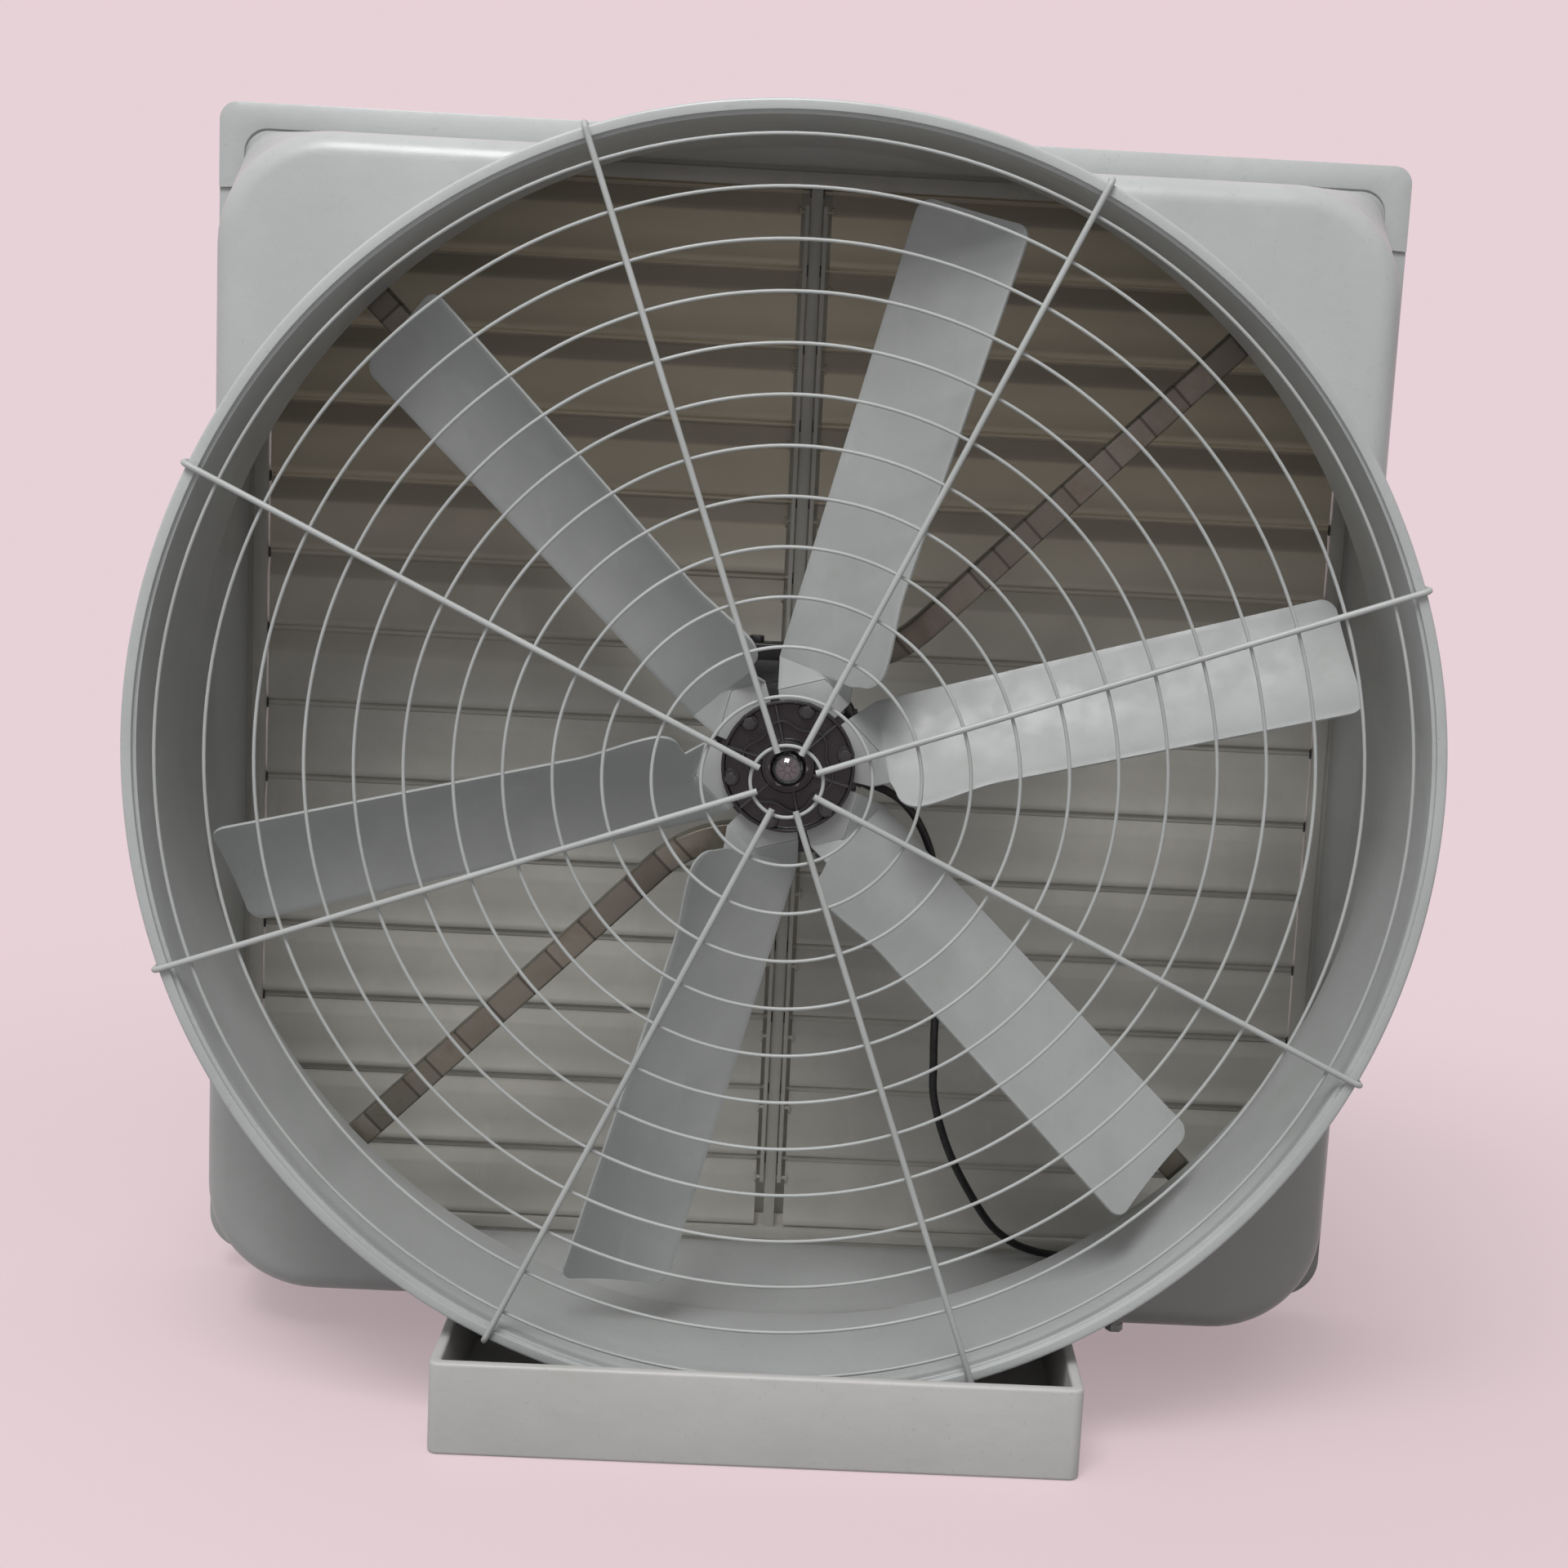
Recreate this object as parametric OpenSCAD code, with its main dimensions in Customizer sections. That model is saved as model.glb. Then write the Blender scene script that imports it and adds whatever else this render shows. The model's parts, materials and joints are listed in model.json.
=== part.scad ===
// Industrial ventilation fan: moulded square housing with a round outlet horn, wire guard,
// six-blade impeller on a direct-drive motor, tube brace, back shutter and floor tray.
// Millimetres, +Z up. The impeller axis runs along Y and the outlet faces -Y.

/* [Housing] */
// Side of the square wall flange
flange_w = 1460; // [1440:1:1500]
// Corner radius of the wall flange
flange_r = 22; // [12:1:40]
// Corner radius of the wall flange's two lower corners
flange_low_r = 50; // [12:1:55]
// Thickness of the wall flange
flange_t = 6; // [4:0.5:8]
// Depth of the return lip behind the wall flange
lip_depth = 27; // [15:1:30]
// Thickness of the return lip
lip_t = 5; // [3:0.5:8]
// Height of the thicker band along the top of the flange
band_h = 102; // [60:1:130]
// How far that band stands proud of the flange
band_t = 4; // [2:0.5:8]
// Width of the flange outside the box
flange_strip = 35; // [32:1:38]
// How much narrower the box is at its front than at the flange
box_taper = 26; // [10:1:40]
// How much lower than its top is high the box's front reaches
box_drop = 16; // [0:1:18]
// Depth of the box from its front face to the flange
box_depth = 227; // [220:1:260]
// Corner radius of the box at its front
box_front_r = 132; // [90:1:150]
// Corner radius of the box at the flange
box_back_r = 25; // [15:1:60]
// Rounding of the box's front edge
box_edge_r = 30; // [15:1:40]
// Wall thickness of the moulded shell
wall = 5; // [4:0.5:6]
// Radius of the four wall bolt holes
wall_hole_r = 5.5; // [4:0.5:6]
// Height between the wall bolt holes
wall_hole_dz = 600; // [300:10:900]

/* [Horn] */
// How far the horn's inner wall lies outside the box's sides at its front
horn_over = 20; // [16:1:24]
// Length of the horn in front of the box
horn_len = 232; // [220:1:280]
// Width of the rim's flat face
rim_face = 12; // [8:1:16]
// Width of the ledge inside the rim
ledge_w = 4; // [2:0.5:6]
// Depth of the ledge behind the rim face
ledge_d = 6; // [4:0.5:10]
// Depth of the rim bead
rim_d = 16; // [12:1:25]
// Bevel on the rim's outer front edge
rim_bevel = 4; // [4:0.5:6]
// Straight run of the horn behind the box's front face
tail_run = 113; // [80:1:130]
// Length of the tapered tail that meets the box sides
tail_taper = 70; // [50:1:85]
// Radius lost along the tapered tail
tail_drop = 22; // [20:1:26]

/* [Guard] */
// Diameter of the radial rods
rod_d = 7; // [5:0.5:8]
// Diameter of the ring wires
ring_d = 4; // [3:0.5:5]
// Number of rings
ring_count = 13; // [9:1:15]
// Radius of the smallest ring
ring_first_r = 39.5; // [35:0.5:50]
// Distance from the largest ring to the horn's wall
ring_edge_gap = 20.5; // [10:0.5:40]
// Number of radial rods
rod_count = 8; // [6:1:12]
// Angle of the first rod above +X
rod_angle = 19.6; // [0:0.1:45]
// Bend radius of the hook on each rod
hook_r = 8; // [8:0.5:9]
// Straight end of the hook behind its bend
hook_len = 14; // [8:1:18]

/* [Impeller] */
// Clearance between the blade tips and the horn
tip_gap = 56; // [42:1:90]
// Chord of a blade
chord = 148; // [120:1:160]
// Thickness of a blade
blade_t = 3; // [2:0.5:4]
// Blade angle away from the plane of rotation
pitch_deg = 34; // [25:1:38]
// Camber height of a blade
camber = 9; // [5:0.5:12]
// Distance from the rim plane to the middle of the blades
blade_y = 123; // [120:1:132]
// Angle of the first blade above +X
blade_angle = 14; // [0:0.5:59]
// Corner radius at a blade's root on its front side
root_corner = 26; // [18:1:30]
// How far that corner stands out past the blade's edge
root_swell = 12; // [6:1:16]
// How much the back side draws in towards the root
root_waist = 17; // [8:1:20]
// Radius of the hub's front disc
hub_r = 75.5; // [73:0.5:80]
// Thickness of the hub's front disc
hub_t = 14; // [12:0.5:16]
// Thickness of the hub's back disc
hub_back_t = 10; // [8:0.5:12]
// Radius of the circle of hub bolts
hub_bolt_pcd_r = 66; // [64:0.5:67]
// Shank radius of a hub bolt
hub_bolt_r = 5; // [4:0.5:6]
// Outer radius of the blade feet
foot_r = 97; // [90:1:102]

/* [Motor] */
// Radius of the motor frame under its fins
motor_r = 84; // [80:1:86]
// Height of the cooling fins
fin_h = 5; // [3:0.5:6]
// Length of the motor frame
motor_len = 124; // [110:1:130]
// Distance from the rim plane to the front of the motor frame
motor_y = 208; // [204:1:212]
// Radius of the shaft
shaft_r = 12.5; // [10:0.5:14]
// Outer radius of the bearings
bearing_r = 26; // [24:0.5:31]
// Width of a bearing
bearing_w = 15; // [12:0.5:15]
// Thickness of the end bells
bell_t = 12; // [10:0.5:14]
// Radius of the rotor
rotor_r = 44.4; // [40:0.1:48]
// Length of the rotor and of the stator stack
stack_len = 90; // [70:1:92]

/* [Brace] */
// Outer side of the square brace tubes
tube_d = 32; // [28:1:34]
// Wall of the brace tubes
tube_wall = 2; // [1.5:0.1:3]
// Corner radius of the brace tubes
tube_r = 3; // [1:0.5:4]
// Height of the tube's straight middle above and below the motor axis
tube_z = 108; // [106:1:114]
// Bend radius of the tubes on their middle line
bend_r = 150; // [120:1:160]
// Distance from the corner pads to the box's corner
pad_margin = 26.4; // [20:0.2:45]
// Side of the foot plates at the tube ends
foot_plate = 84; // [76:1:90]
// Thickness of the foot plates
foot_plate_t = 4; // [3:0.5:6]
// Thickness of the corner pads under the foot plates
pad_t = 8; // [7:0.5:12]

/* [Shutter] */
// Gap between the shutter frame and the box
frame_gap = 6; // [3:0.5:8]
// Width of the frame's side bars
side_bar = 17; // [14:0.5:20]
// Height of the frame's top bar
top_bar = 6; // [4:0.5:7]
// Height of the top bar's front lip
header_h = 18.5; // [12:0.5:19]
// Height of the frame's bottom rail
bottom_bar = 14; // [12:0.5:17]
// Depth of the shutter frame
frame_depth = 38; // [34:1:44]
// Width of the frame's mounting lip
frame_lip = 20; // [16:1:22]
// Width of the middle post
post_w = 14; // [12:1:16]
// Distance from a louver's lower edge to the next hinge
louver_lap = 6.3; // [5:0.1:10]
// Distance from the last louver's lower edge to the bottom rail
rail_gap = 3.6; // [2:0.2:8]
// Height of a louver above its hinge
louver_top = 12; // [8:0.5:13]
// Thickness of the louver sheet
louver_t = 1.6; // [1:0.1:2]
// Height of the sloping band along a louver's top
louver_band = 22; // [16:1:30]
// How far a louver's face stands forward of its hinge
louver_set = 8; // [5:0.5:8.5]
// Width of the flange behind the middle post
post_back_w = 52; // [44:1:60]
// Radius of the hinge barrel
barrel_r = 4; // [3.5:0.1:4.2]
// Radius of the hinge and link pins
pin_r = 2.5; // [2:0.1:3]
// Depth of the link bars
bar_depth = 8; // [7:0.5:9]

/* [Motor lead] */
// Diameter of the motor lead
lead_d = 10; // [8:0.5:11]

/* [Floor tray] */
// Width of the tray
tray_w = 725; // [680:1:760]
// Height of the tray's front board
tray_h = 107; // [100:1:112]
// Distance from the tray's front face to the rim plane
tray_front = 60; // [50:1:80]
// Thickness of the tray's walls
tray_wall = 13; // [10:0.5:16]
// Rounding of the tray's upright corners
tray_r = 12; // [6:1:20]
// Gap between the flange's lower edge and the floor
ride_h = 32; // [25:1:40]

/* [Hidden] */

$fn = 48;
// Clearance between seated pieces
seat = 0.3;
// Radial clearance of a running fit
run = 0.05;
// Small overshoot of a cut
cut = 1;
// Counts that the names of the pieces fix
blade_count = 6;
row_count = 14;

// Frame of the whole object: the rim plane and the axis seen from the floor centre
box_back_w = flange_w - 2 * flange_strip;
box_front_w = box_back_w - box_taper;
box_low = -box_front_w / 2 - box_drop;
flange_y = horn_len + box_depth;
tray_back = flange_y + flange_t + lip_depth + 8;
rim_y = -(tray_back - tray_front) / 2;
horn_r = box_front_w / 2 + horn_over;
rim_r = horn_r + ledge_w + rim_face;
saddle_web = 12;
axis_z = max(flange_w / 2, rim_r + saddle_web) + ride_h;

// Horn and rim
horn_out = horn_r + wall;
plate_back = horn_len + wall + 1;
tail_y = horn_len + tail_run;

// Guard: rods lie on the rim face and the rings hang behind them
rod_y = -rod_d / 2 - seat;
ring_y = rod_y + rod_d / 2 + ring_d / 2 + seat;
hook_out = rim_r + seat + rod_d / 2;
rod_in = ring_first_r - ring_d / 2 - 4;
ring_pitch = (horn_r - ring_edge_gap - ring_first_r) / (ring_count - 1);

// Impeller
tip_r = horn_r - tip_gap;
camber_r = (chord * chord / 4 + camber * camber) / (2 * camber);
tip_corner = 18;
foot_t = 4;
foot_in = 38;
root_x = foot_r + 13;
root_neck = 46;
fold_back = [foot_r - 20, 38];
fold_mid = [foot_r + 8.5, -8];
fold_front = [foot_r - 9, -43];
collar_r = 47;
collar_w = 2.5;
foot_y = blade_y - foot_t / 2;
hub_y = foot_y - seat - hub_t;
hub_back_y = foot_y + foot_t + seat;
hub_back_r = hub_bolt_pcd_r + 14;
hub_head_t = 6;
hub_head_r = hub_bolt_r * 1.5;
foot_hole_r = hub_bolt_r + 0.2;
washer_t = 3;
washer_r = 26;
dome_r = 21;
nut_t = 6;
thread_r = shaft_r - 2.5;
key_w = 8;
key_h = 3;

// Motor
motor_back = motor_y + motor_len;
stack_y = motor_y + (motor_len - stack_len) / 2;
frame_wall = 10;
frame_in = motor_r - frame_wall;
stator_in = rotor_r + 0.6;
fin_count = 20;
fin_w = 4;
boss_r = bearing_r + 8;
boss_len = 5;
bell_web = 3;
bell_r = motor_r + 2;
shaft_front = hub_y - washer_t - nut_t - 8;
shaft_back = motor_back + bell_t - 2;
bell_screw_r = 3;
bell_screw_pcd = motor_r - 5;
bell_head = 4;

// Brace tubes on the diagonals, bent level above and below the motor
brace_y = horn_len + wall + 1 + pad_t + foot_plate_t + tube_d / 2 - 1;
bend_deg = 45;
bend_run = bend_r * tan(bend_deg / 2);
pad_y = plate_back;
pad_side = foot_plate + 10;
foot_plate_y = pad_y + pad_t + seat;
brace_bolt_r = 4;
brace_bolt_off = foot_plate / 2 - 12;
brace_hole_r = brace_bolt_r + 0.3;
pad_reach = box_front_r - box_edge_r - wall / 2 - pad_side / 2 - pad_margin;
arm_end = round(box_front_w / 2 - box_front_r + pad_reach / sqrt(2));
arm_len = (arm_end - tube_z) * sqrt(2) - bend_run;
saddle_z = motor_r + fin_h;
saddle_w = 112;
saddle_d = 44;
saddle_root = 62;
motor_bolt_x = 45;
motor_bolt_r = 5;
motor_bolt_head = 7;
motor_bolt_depth = 10;

// Shutter
post_half = post_w / 2;
post_back_t = 3;
frame_w = box_back_w - 2 * wall - 2 * frame_gap;
frame_half = frame_w / 2;
frame_y = flange_y + 3;
lip_y = flange_y + flange_t + seat;
lip_sheet = 2;
lip_half = frame_half + frame_lip;
hinge_y = frame_y + 16;
hinge_top = frame_half - top_bar - louver_top - 4.5;
louver_low = frame_half - bottom_bar - rail_gap;
row_pitch = (hinge_top + louver_low + louver_lap) / row_count;
louver_h = row_pitch - louver_lap;
hinge_play = 0.1;
pin_reach = 8;
side_gap = 2;
bar_in = post_half + 2;
bar_w = 5;
blade_in = bar_in + bar_w + 5;
blade_out = frame_half - side_bar - side_gap;
header_t = 4;
link_fwd = 10;
link_drop = 24;
link_end = 6;
tab_t = 2;
screw_r = 2.4;
screw_count = 4;
screw_off = (box_back_w / 2 - wall + lip_half) / 2;
rail_stop = 14;

// Motor lead: its gland on the motor and its route, from the rim plane and the axis
gland_ang = -24;
gland_r = 11;
gland_len = 22;
gland_y = motor_y + motor_len - 34;
route_top = -90;
route_floor = -698;
lead_points = [
    [99, 298, -44], [110, 298, -49], [122, 298, -54], [140, 299, -66], [160, 300, -90],
    [178, 300, -130], [190, 300, -190], [194, 300, -260], [194, 302, -342],
    [196, 312, -391], [201, 325, -447], [229, 350, -528], [277, 380, -612],
    [313, 415, -654], [345, 436, -674], [376, 445, -682.5], [415, 440, -684.8],
    [460, 425, -685], [505, 398, -683.5], [535, 365, -678.5], [548, 330, -668.5],
    [545, 297, -652], [531, 272, -633], [513, 262.6, -626.4], [494.2, 262, -626]
];
// The hanging part stretches with the box, and the rest keeps to the box floor
lead_fall = route_floor - box_low;
lead_sides = 10;
lead_steps = 3;

// Junction box behind the box's front face, low on the right beside the corner pad
jbox = [80, 40, 46];
jbox_x = arm_end - 172;
jbox_z = -box_front_w / 2 + 36;
jgland_y = plate_back + 24;
// The lead's end follows its gland
lead_end_x = jbox_x + jbox[0] + 14.2 - lead_points[len(lead_points) - 1][0];
lead_end_y = jgland_y - lead_points[len(lead_points) - 1][1];
lead_route = [
    for (p = lead_points) let (share = min(1, max(0, (p[0] - 200) / 290)))
        [p[0] + lead_end_x * share, p[1] + lead_end_y * share,
            p[2] - lead_fall * min(1, max(0, (route_top - p[2]) / 520))]
];
jgland_z = jbox_z + 20;
jgland_reach = 20;
jbox_wall = 3;
lid_t = 4;
supply_x = jbox_x + jbox[0] / 2;
supply_y = jgland_y;
supply_r = 8.8;
supply_low = 11;

// Tray
tray_floor = 12;
tray_low = -axis_z;
tray_top = tray_low + tray_h;
tray_step_y = horn_len - 14;
saddle_len = 60;
saddle_half = 150;

module at_fan() {
    translate([0, rim_y, axis_z]) children();
}

// A solid of revolution about the fan axis, from a profile of radius and depth
module turned(sides = 96) {
    rotate([-90, 0, 0]) rotate_extrude($fn = sides) children();
}

module rod_y(r, y0, len, sides = 48) {
    translate([0, y0, 0]) rotate([-90, 0, 0]) cylinder(h = len, r = r, $fn = sides);
}

module rod_x(r, x0, len, sides = 32) {
    translate([x0, 0, 0]) rotate([0, 90, 0]) cylinder(h = len, r = r, $fn = sides);
}

module rounded_square(half, r, low_r) {
    union() {
        translate([-half, low_r - half]) square([2 * half, 2 * half - low_r - r]);
        translate([r - half, 0]) square([2 * (half - r), half]);
        translate([low_r - half, -half]) square([2 * (half - low_r), half]);
        for (sx = [-1, 1]) {
            translate([sx * (half - r), half - r]) circle(r = r);
            translate([sx * (half - low_r), low_r - half]) circle(r = low_r);
        }
    }
}

// A square plate with round corners that starts at y0 and faces along Y
module square_plate(half, r, low_r, y0, t) {
    translate([0, y0 + t, 0]) rotate([90, 0, 0])
        linear_extrude(height = t) rounded_square(half, r, low_r);
}

// The box is lofted from large front corners to small back ones
module box_form(inset, y0, y1) {
    front_half = box_front_w / 2 - inset;
    front_r = box_front_r - inset;
    edge = box_edge_r - inset / 2;
    back_half = box_back_w / 2 - inset;
    back_r = max(box_back_r - inset, 4);
    slice = 0.5;
    hull() {
        for (a = [0, 30, 60, 90])
            loft_ring(front_half - edge * (1 - sin(a)), front_r - edge * (1 - sin(a)),
                box_drop, y0 + edge * (1 - cos(a)), slice);
        loft_ring(back_half, back_r, 0, y1 - slice, slice);
    }
}

module loft_ring(half, r, drop, y0, t) {
    for (sx = [-1, 1], z = [r - half - drop, half - r])
        translate([sx * (half - r), y0, z])
            rotate([-90, 0, 0]) cylinder(h = t, r = r, $fn = 32);
}

module tail(r, y0, grow) {
    rod_y(r, y0, tail_y - y0, 96);
    translate([0, tail_y, 0]) rotate([-90, 0, 0])
        cylinder(h = tail_taper, r1 = r, r2 = r - tail_drop, $fn = 96);
    if (grow > 0) rod_y(r - tail_drop, tail_y, tail_taper + grow, 96);
}

module wall_holes() {
    hole_x = wall_hole_x();
    for (sx = [-1, 1], sz = [-1, 1])
        translate([sx * hole_x, 0, sz * wall_hole_dz / 2])
            rod_y(wall_hole_r, flange_y - cut, flange_t + 2 * cut);
}

function wall_hole_x() = (flange_w / 2 - lip_t + lip_half) / 2;

module screw_spots() {
    step = 2 * screw_off / (screw_count + 1);
    for (side = [0:3])
        rotate([0, side * 90, 0])
            for (k = [1:screw_count])
                translate([-screw_off + k * step, 0, screw_off]) children();
}

module housing_shell() {
    back_half = flange_w / 2;
    color([0.73, 0.75, 0.77]) at_fan() difference() {
        union() {
            box_form(0, horn_len, flange_y + cut);
            tail(horn_out, horn_len, 0);
            square_plate(back_half, flange_r, flange_low_r, flange_y, flange_t + lip_depth);
            intersection() {
                square_plate(back_half, flange_r, flange_r, flange_y - band_t, band_t + cut);
                translate([-back_half, flange_y - band_t, back_half - band_h])
                    cube([2 * back_half, band_t + cut, band_h]);
            }
        }
        box_form(wall, plate_back, flange_y + flange_t + cut);
        tail(horn_r, horn_len - cut, 0);
        square_plate(back_half - lip_t, flange_r - lip_t, flange_low_r - lip_t,
            flange_y + flange_t, lip_depth + cut);
        wall_holes();
        screw_spots() rod_y(screw_r + 0.1, flange_y - cut, flange_t + 2 * cut, 24);
        translate([supply_x, supply_y, box_low - supply_low])
            cylinder(h = 3 * supply_low, r = supply_r + seat);
    }
}

module outlet_horn() {
    color([0.74, 0.76, 0.77]) at_fan() turned() polygon([
        [horn_r, horn_len], [horn_r, ledge_d], [horn_r + ledge_w, ledge_d],
        [horn_r + ledge_w, 0], [rim_r - rim_bevel, 0], [rim_r, rim_bevel],
        [rim_r, rim_d], [horn_out, rim_d], [horn_out, horn_len]
    ]);
}

module guard_rings() {
    color([0.85, 0.86, 0.85]) at_fan()
        for (k = [0:ring_count - 1])
            translate([0, ring_y, 0]) turned()
                translate([ring_first_r + k * ring_pitch, 0]) circle(d = ring_d, $fn = 24);
}

module guard_rods() {
    color([0.87, 0.88, 0.87]) at_fan()
        for (k = [0:rod_count - 1])
            rotate([0, -(rod_angle + k * 360 / rod_count), 0]) guard_rod();
}

module guard_rod() {
    bend_x = hook_out - hook_r;
    translate([0, rod_y, 0]) rod_x(rod_d / 2, rod_in, bend_x - rod_in, 24);
    translate([bend_x, rod_y + hook_r, 0]) rotate([0, 0, -90])
        rotate_extrude(angle = 90, $fn = 96) translate([hook_r, 0]) circle(d = rod_d, $fn = 24);
    translate([hook_out, 0, 0]) rod_y(rod_d / 2, rod_y + hook_r, hook_len, 24);
}

// One blade along +X: chord along Z, then turned to its pitch. Two folds join it to its foot
module blade(index) {
    half = chord / 2;
    color([0.80, 0.82, 0.82]) at_fan()
    rotate([0, -(blade_angle + index * 360 / blade_count), 0])
    translate([0, blade_y, 0]) {
        rotate([-pitch_deg, 0, 0]) intersection() {
            blade_sheet();
            translate([0, chord, 0]) rotate([90, 0, 0]) linear_extrude(height = 2 * chord)
                blade_outline(half);
        }
        root_fold(fold_back, fold_mid, 0, half - root_waist - 1);
        root_fold(fold_mid, fold_front, -root_neck, 0);
        translate([0, foot_t / 2, 0]) rotate([90, 0, 0]) linear_extrude(height = foot_t)
            difference() {
                polygon([[0, 0], fold_front, fold_mid, fold_back]);
                circle(r = foot_in, $fn = 96);
                translate([hub_bolt_pcd_r, 0]) circle(r = foot_hole_r);
            }
    }
}

// A flat fold from a line on the foot to a stretch of the blade's root
module root_fold(a, b, from, to) {
    hull() {
        for (p = [a, b])
            translate([p[0] - 1, -foot_t / 2, p[1] - 1]) cube([2, foot_t, 2]);
        rotate([-pitch_deg, 0, 0])
            translate([root_x - 1, camber / 2 - blade_t, from]) cube([4, blade_t, to - from]);
    }
}

module blade_sheet() {
    inner = camber_r - blade_t / 2;
    translate([0, camber / 2 - camber_r, 0]) rotate([0, 90, 0])
        linear_extrude(height = tip_r + cut) difference() {
            circle(r = inner + blade_t, $fn = 256);
            circle(r = inner, $fn = 256);
            translate([-2 * camber_r, -4 * camber_r]) square([4 * camber_r, 4 * camber_r]);
        }
}

module blade_outline(half) {
    corner_x = root_x + 4 + root_corner;
    corner_low = -half - root_swell;
    union() {
        polygon([
            [root_x, half - root_waist], [tip_r - tip_corner, half],
            [tip_r, half - tip_corner], [tip_r, tip_corner - half],
            [tip_r - tip_corner, -half], [corner_x + 75, -half], [corner_x, corner_low],
            [root_x + 4, corner_low + root_corner], [root_x, -root_neck]
        ]);
        translate([corner_x, corner_low + root_corner]) circle(r = root_corner);
        for (s = [-1, 1])
            translate([tip_r - tip_corner, s * (half - tip_corner)]) circle(r = tip_corner);
    }
}

module at_hub_bolts() {
    for (k = [0:blade_count - 1])
        rotate([0, -(blade_angle + k * 360 / blade_count), 0])
            translate([hub_bolt_pcd_r, 0, 0]) children();
}

module hub_front() {
    floor_t = hub_t - 7;
    rib_t = 3;
    color([0.07, 0.07, 0.075]) at_fan() difference() {
        union() {
            rod_y(hub_r, hub_y + hub_t - floor_t, floor_t, 96);
            turned() translate([hub_r - 4, hub_y]) square([4, hub_t]);
            rod_y(washer_r + 4, hub_y, hub_t);
            at_hub_bolts() rod_y(hub_head_r + 2, hub_y + 2, hub_t - 2);
            turned() translate([collar_r, hub_y + 1]) square([collar_w, hub_t - 1]);
            for (k = [0:blade_count - 1])
                rotate([0, -(blade_angle + (k + 0.5) * 360 / blade_count), 0])
                    translate([washer_r, hub_y + 1, -rib_t / 2])
                        cube([hub_r - washer_r - 2, hub_t - 1, rib_t]);
        }
        rod_y(shaft_r + run, hub_y - cut, hub_t + 2 * cut);
        at_hub_bolts() {
            rod_y(foot_hole_r, hub_y - cut, hub_t + 2 * cut);
            rod_y(hub_head_r + 0.6, hub_y - cut, 2 + cut);
        }
    }
}

module hub_back() {
    boss_t = 24;
    color([0.09, 0.09, 0.095]) at_fan() difference() {
        union() {
            rod_y(hub_back_r, hub_back_y, hub_back_t, 96);
            rod_y(34, hub_back_y, boss_t);
            rod_y(foot_in - seat, foot_y + seat, foot_t + seat);
        }
        rod_y(shaft_r + run, foot_y - cut, boss_t + foot_t + 2 * cut);
        at_hub_bolts() rod_y(foot_hole_r, hub_back_y - cut, hub_back_t + 2 * cut);
        translate([-key_w / 2 - 0.1, foot_y - cut, shaft_r - 1])
            cube([key_w + 0.2, boss_t + foot_t + 2 * cut, key_h + 1.3]);
    }
}

module hub_bolts() {
    grip = hub_back_y + hub_back_t - hub_y + 10;
    color([0.22, 0.22, 0.23]) at_fan() at_hub_bolts() {
        translate([0, hub_y + 2 - hub_head_t, 0]) rotate([-90, 0, 0])
            cylinder(h = hub_head_t, r = hub_head_r, $fn = 6);
        rod_y(hub_bolt_r, hub_y + 1, grip);
    }
}

module hub_nuts() {
    color([0.45, 0.45, 0.46]) at_fan() at_hub_bolts()
        translate([0, hub_back_y + hub_back_t, 0]) rotate([-90, 0, 0]) difference() {
            cylinder(h = 8, r = hub_head_r + 1, $fn = 6);
            translate([0, 0, -cut]) cylinder(h = 8 + 2 * cut, r = hub_bolt_r + run);
        }
}

module hub_washer() {
    color([0.12, 0.12, 0.12]) at_fan() turned(64)
        translate([thread_r + 0.5, hub_y - washer_t])
            square([washer_r - thread_r - 0.5, washer_t]);
}

module dome_nut() {
    base_y = hub_y - washer_t - nut_t;
    color([0.86, 0.87, 0.88]) at_fan() difference() {
        union() {
            translate([0, base_y, 0]) rotate([-90, 0, 0])
                cylinder(h = nut_t, r = dome_r + 2, $fn = 6);
            intersection() {
                translate([0, base_y + 3, 0]) sphere(r = dome_r, $fn = 64);
                rod_y(dome_r + cut, base_y - dome_r, dome_r + nut_t - 3);
            }
        }
        rod_y(thread_r + run, base_y - 8.5, nut_t + 9.5);
    }
}

module shaft_key() {
    color([0.5, 0.5, 0.5]) at_fan()
        translate([-key_w / 2, hub_back_y, shaft_r - key_h + 0.1])
            cube([key_w, 22, 2 * key_h - 0.2]);
}

module motor_shaft() {
    color([0.62, 0.63, 0.64]) at_fan() difference() {
        union() {
            rod_y(thread_r, shaft_front, hub_y - shaft_front + cut);
            rod_y(shaft_r, hub_y + 0.2, shaft_back - hub_y - 0.2);
        }
        translate([-key_w / 2 - 0.1, hub_back_y - 0.2, shaft_r - key_h])
            cube([key_w + 0.2, 22.4, key_h + cut]);
    }
}

module rotor() {
    color([0.55, 0.56, 0.58]) at_fan() difference() {
        rod_y(rotor_r, stack_y, stack_len, 96);
        rod_y(shaft_r + run, stack_y - cut, stack_len + 2 * cut);
    }
}

module bearing(y0) {
    color([0.70, 0.71, 0.72]) at_fan() turned(64)
        translate([shaft_r + run, y0]) square([bearing_r - shaft_r - run, bearing_w]);
}

module front_bearing() {
    bearing(motor_y - bell_t + bell_web);
}

module rear_bearing() {
    bearing(motor_back + bell_t - bell_web - bearing_w);
}

module stator_core() {
    color([0.40, 0.41, 0.42]) at_fan() turned()
        translate([stator_in, stack_y]) square([frame_in - run - stator_in, stack_len]);
}

module stator_windings() {
    coil_r = 11;
    mid = (frame_in + stator_in) / 2;
    color([0.72, 0.42, 0.22]) at_fan()
        for (end = [-1, 1])
            translate([0, stack_y + stack_len / 2 + end * (stack_len / 2 + 6.3), 0]) turned()
                translate([mid - coil_r / 2, -6]) square([coil_r, 12]);
}

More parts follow.
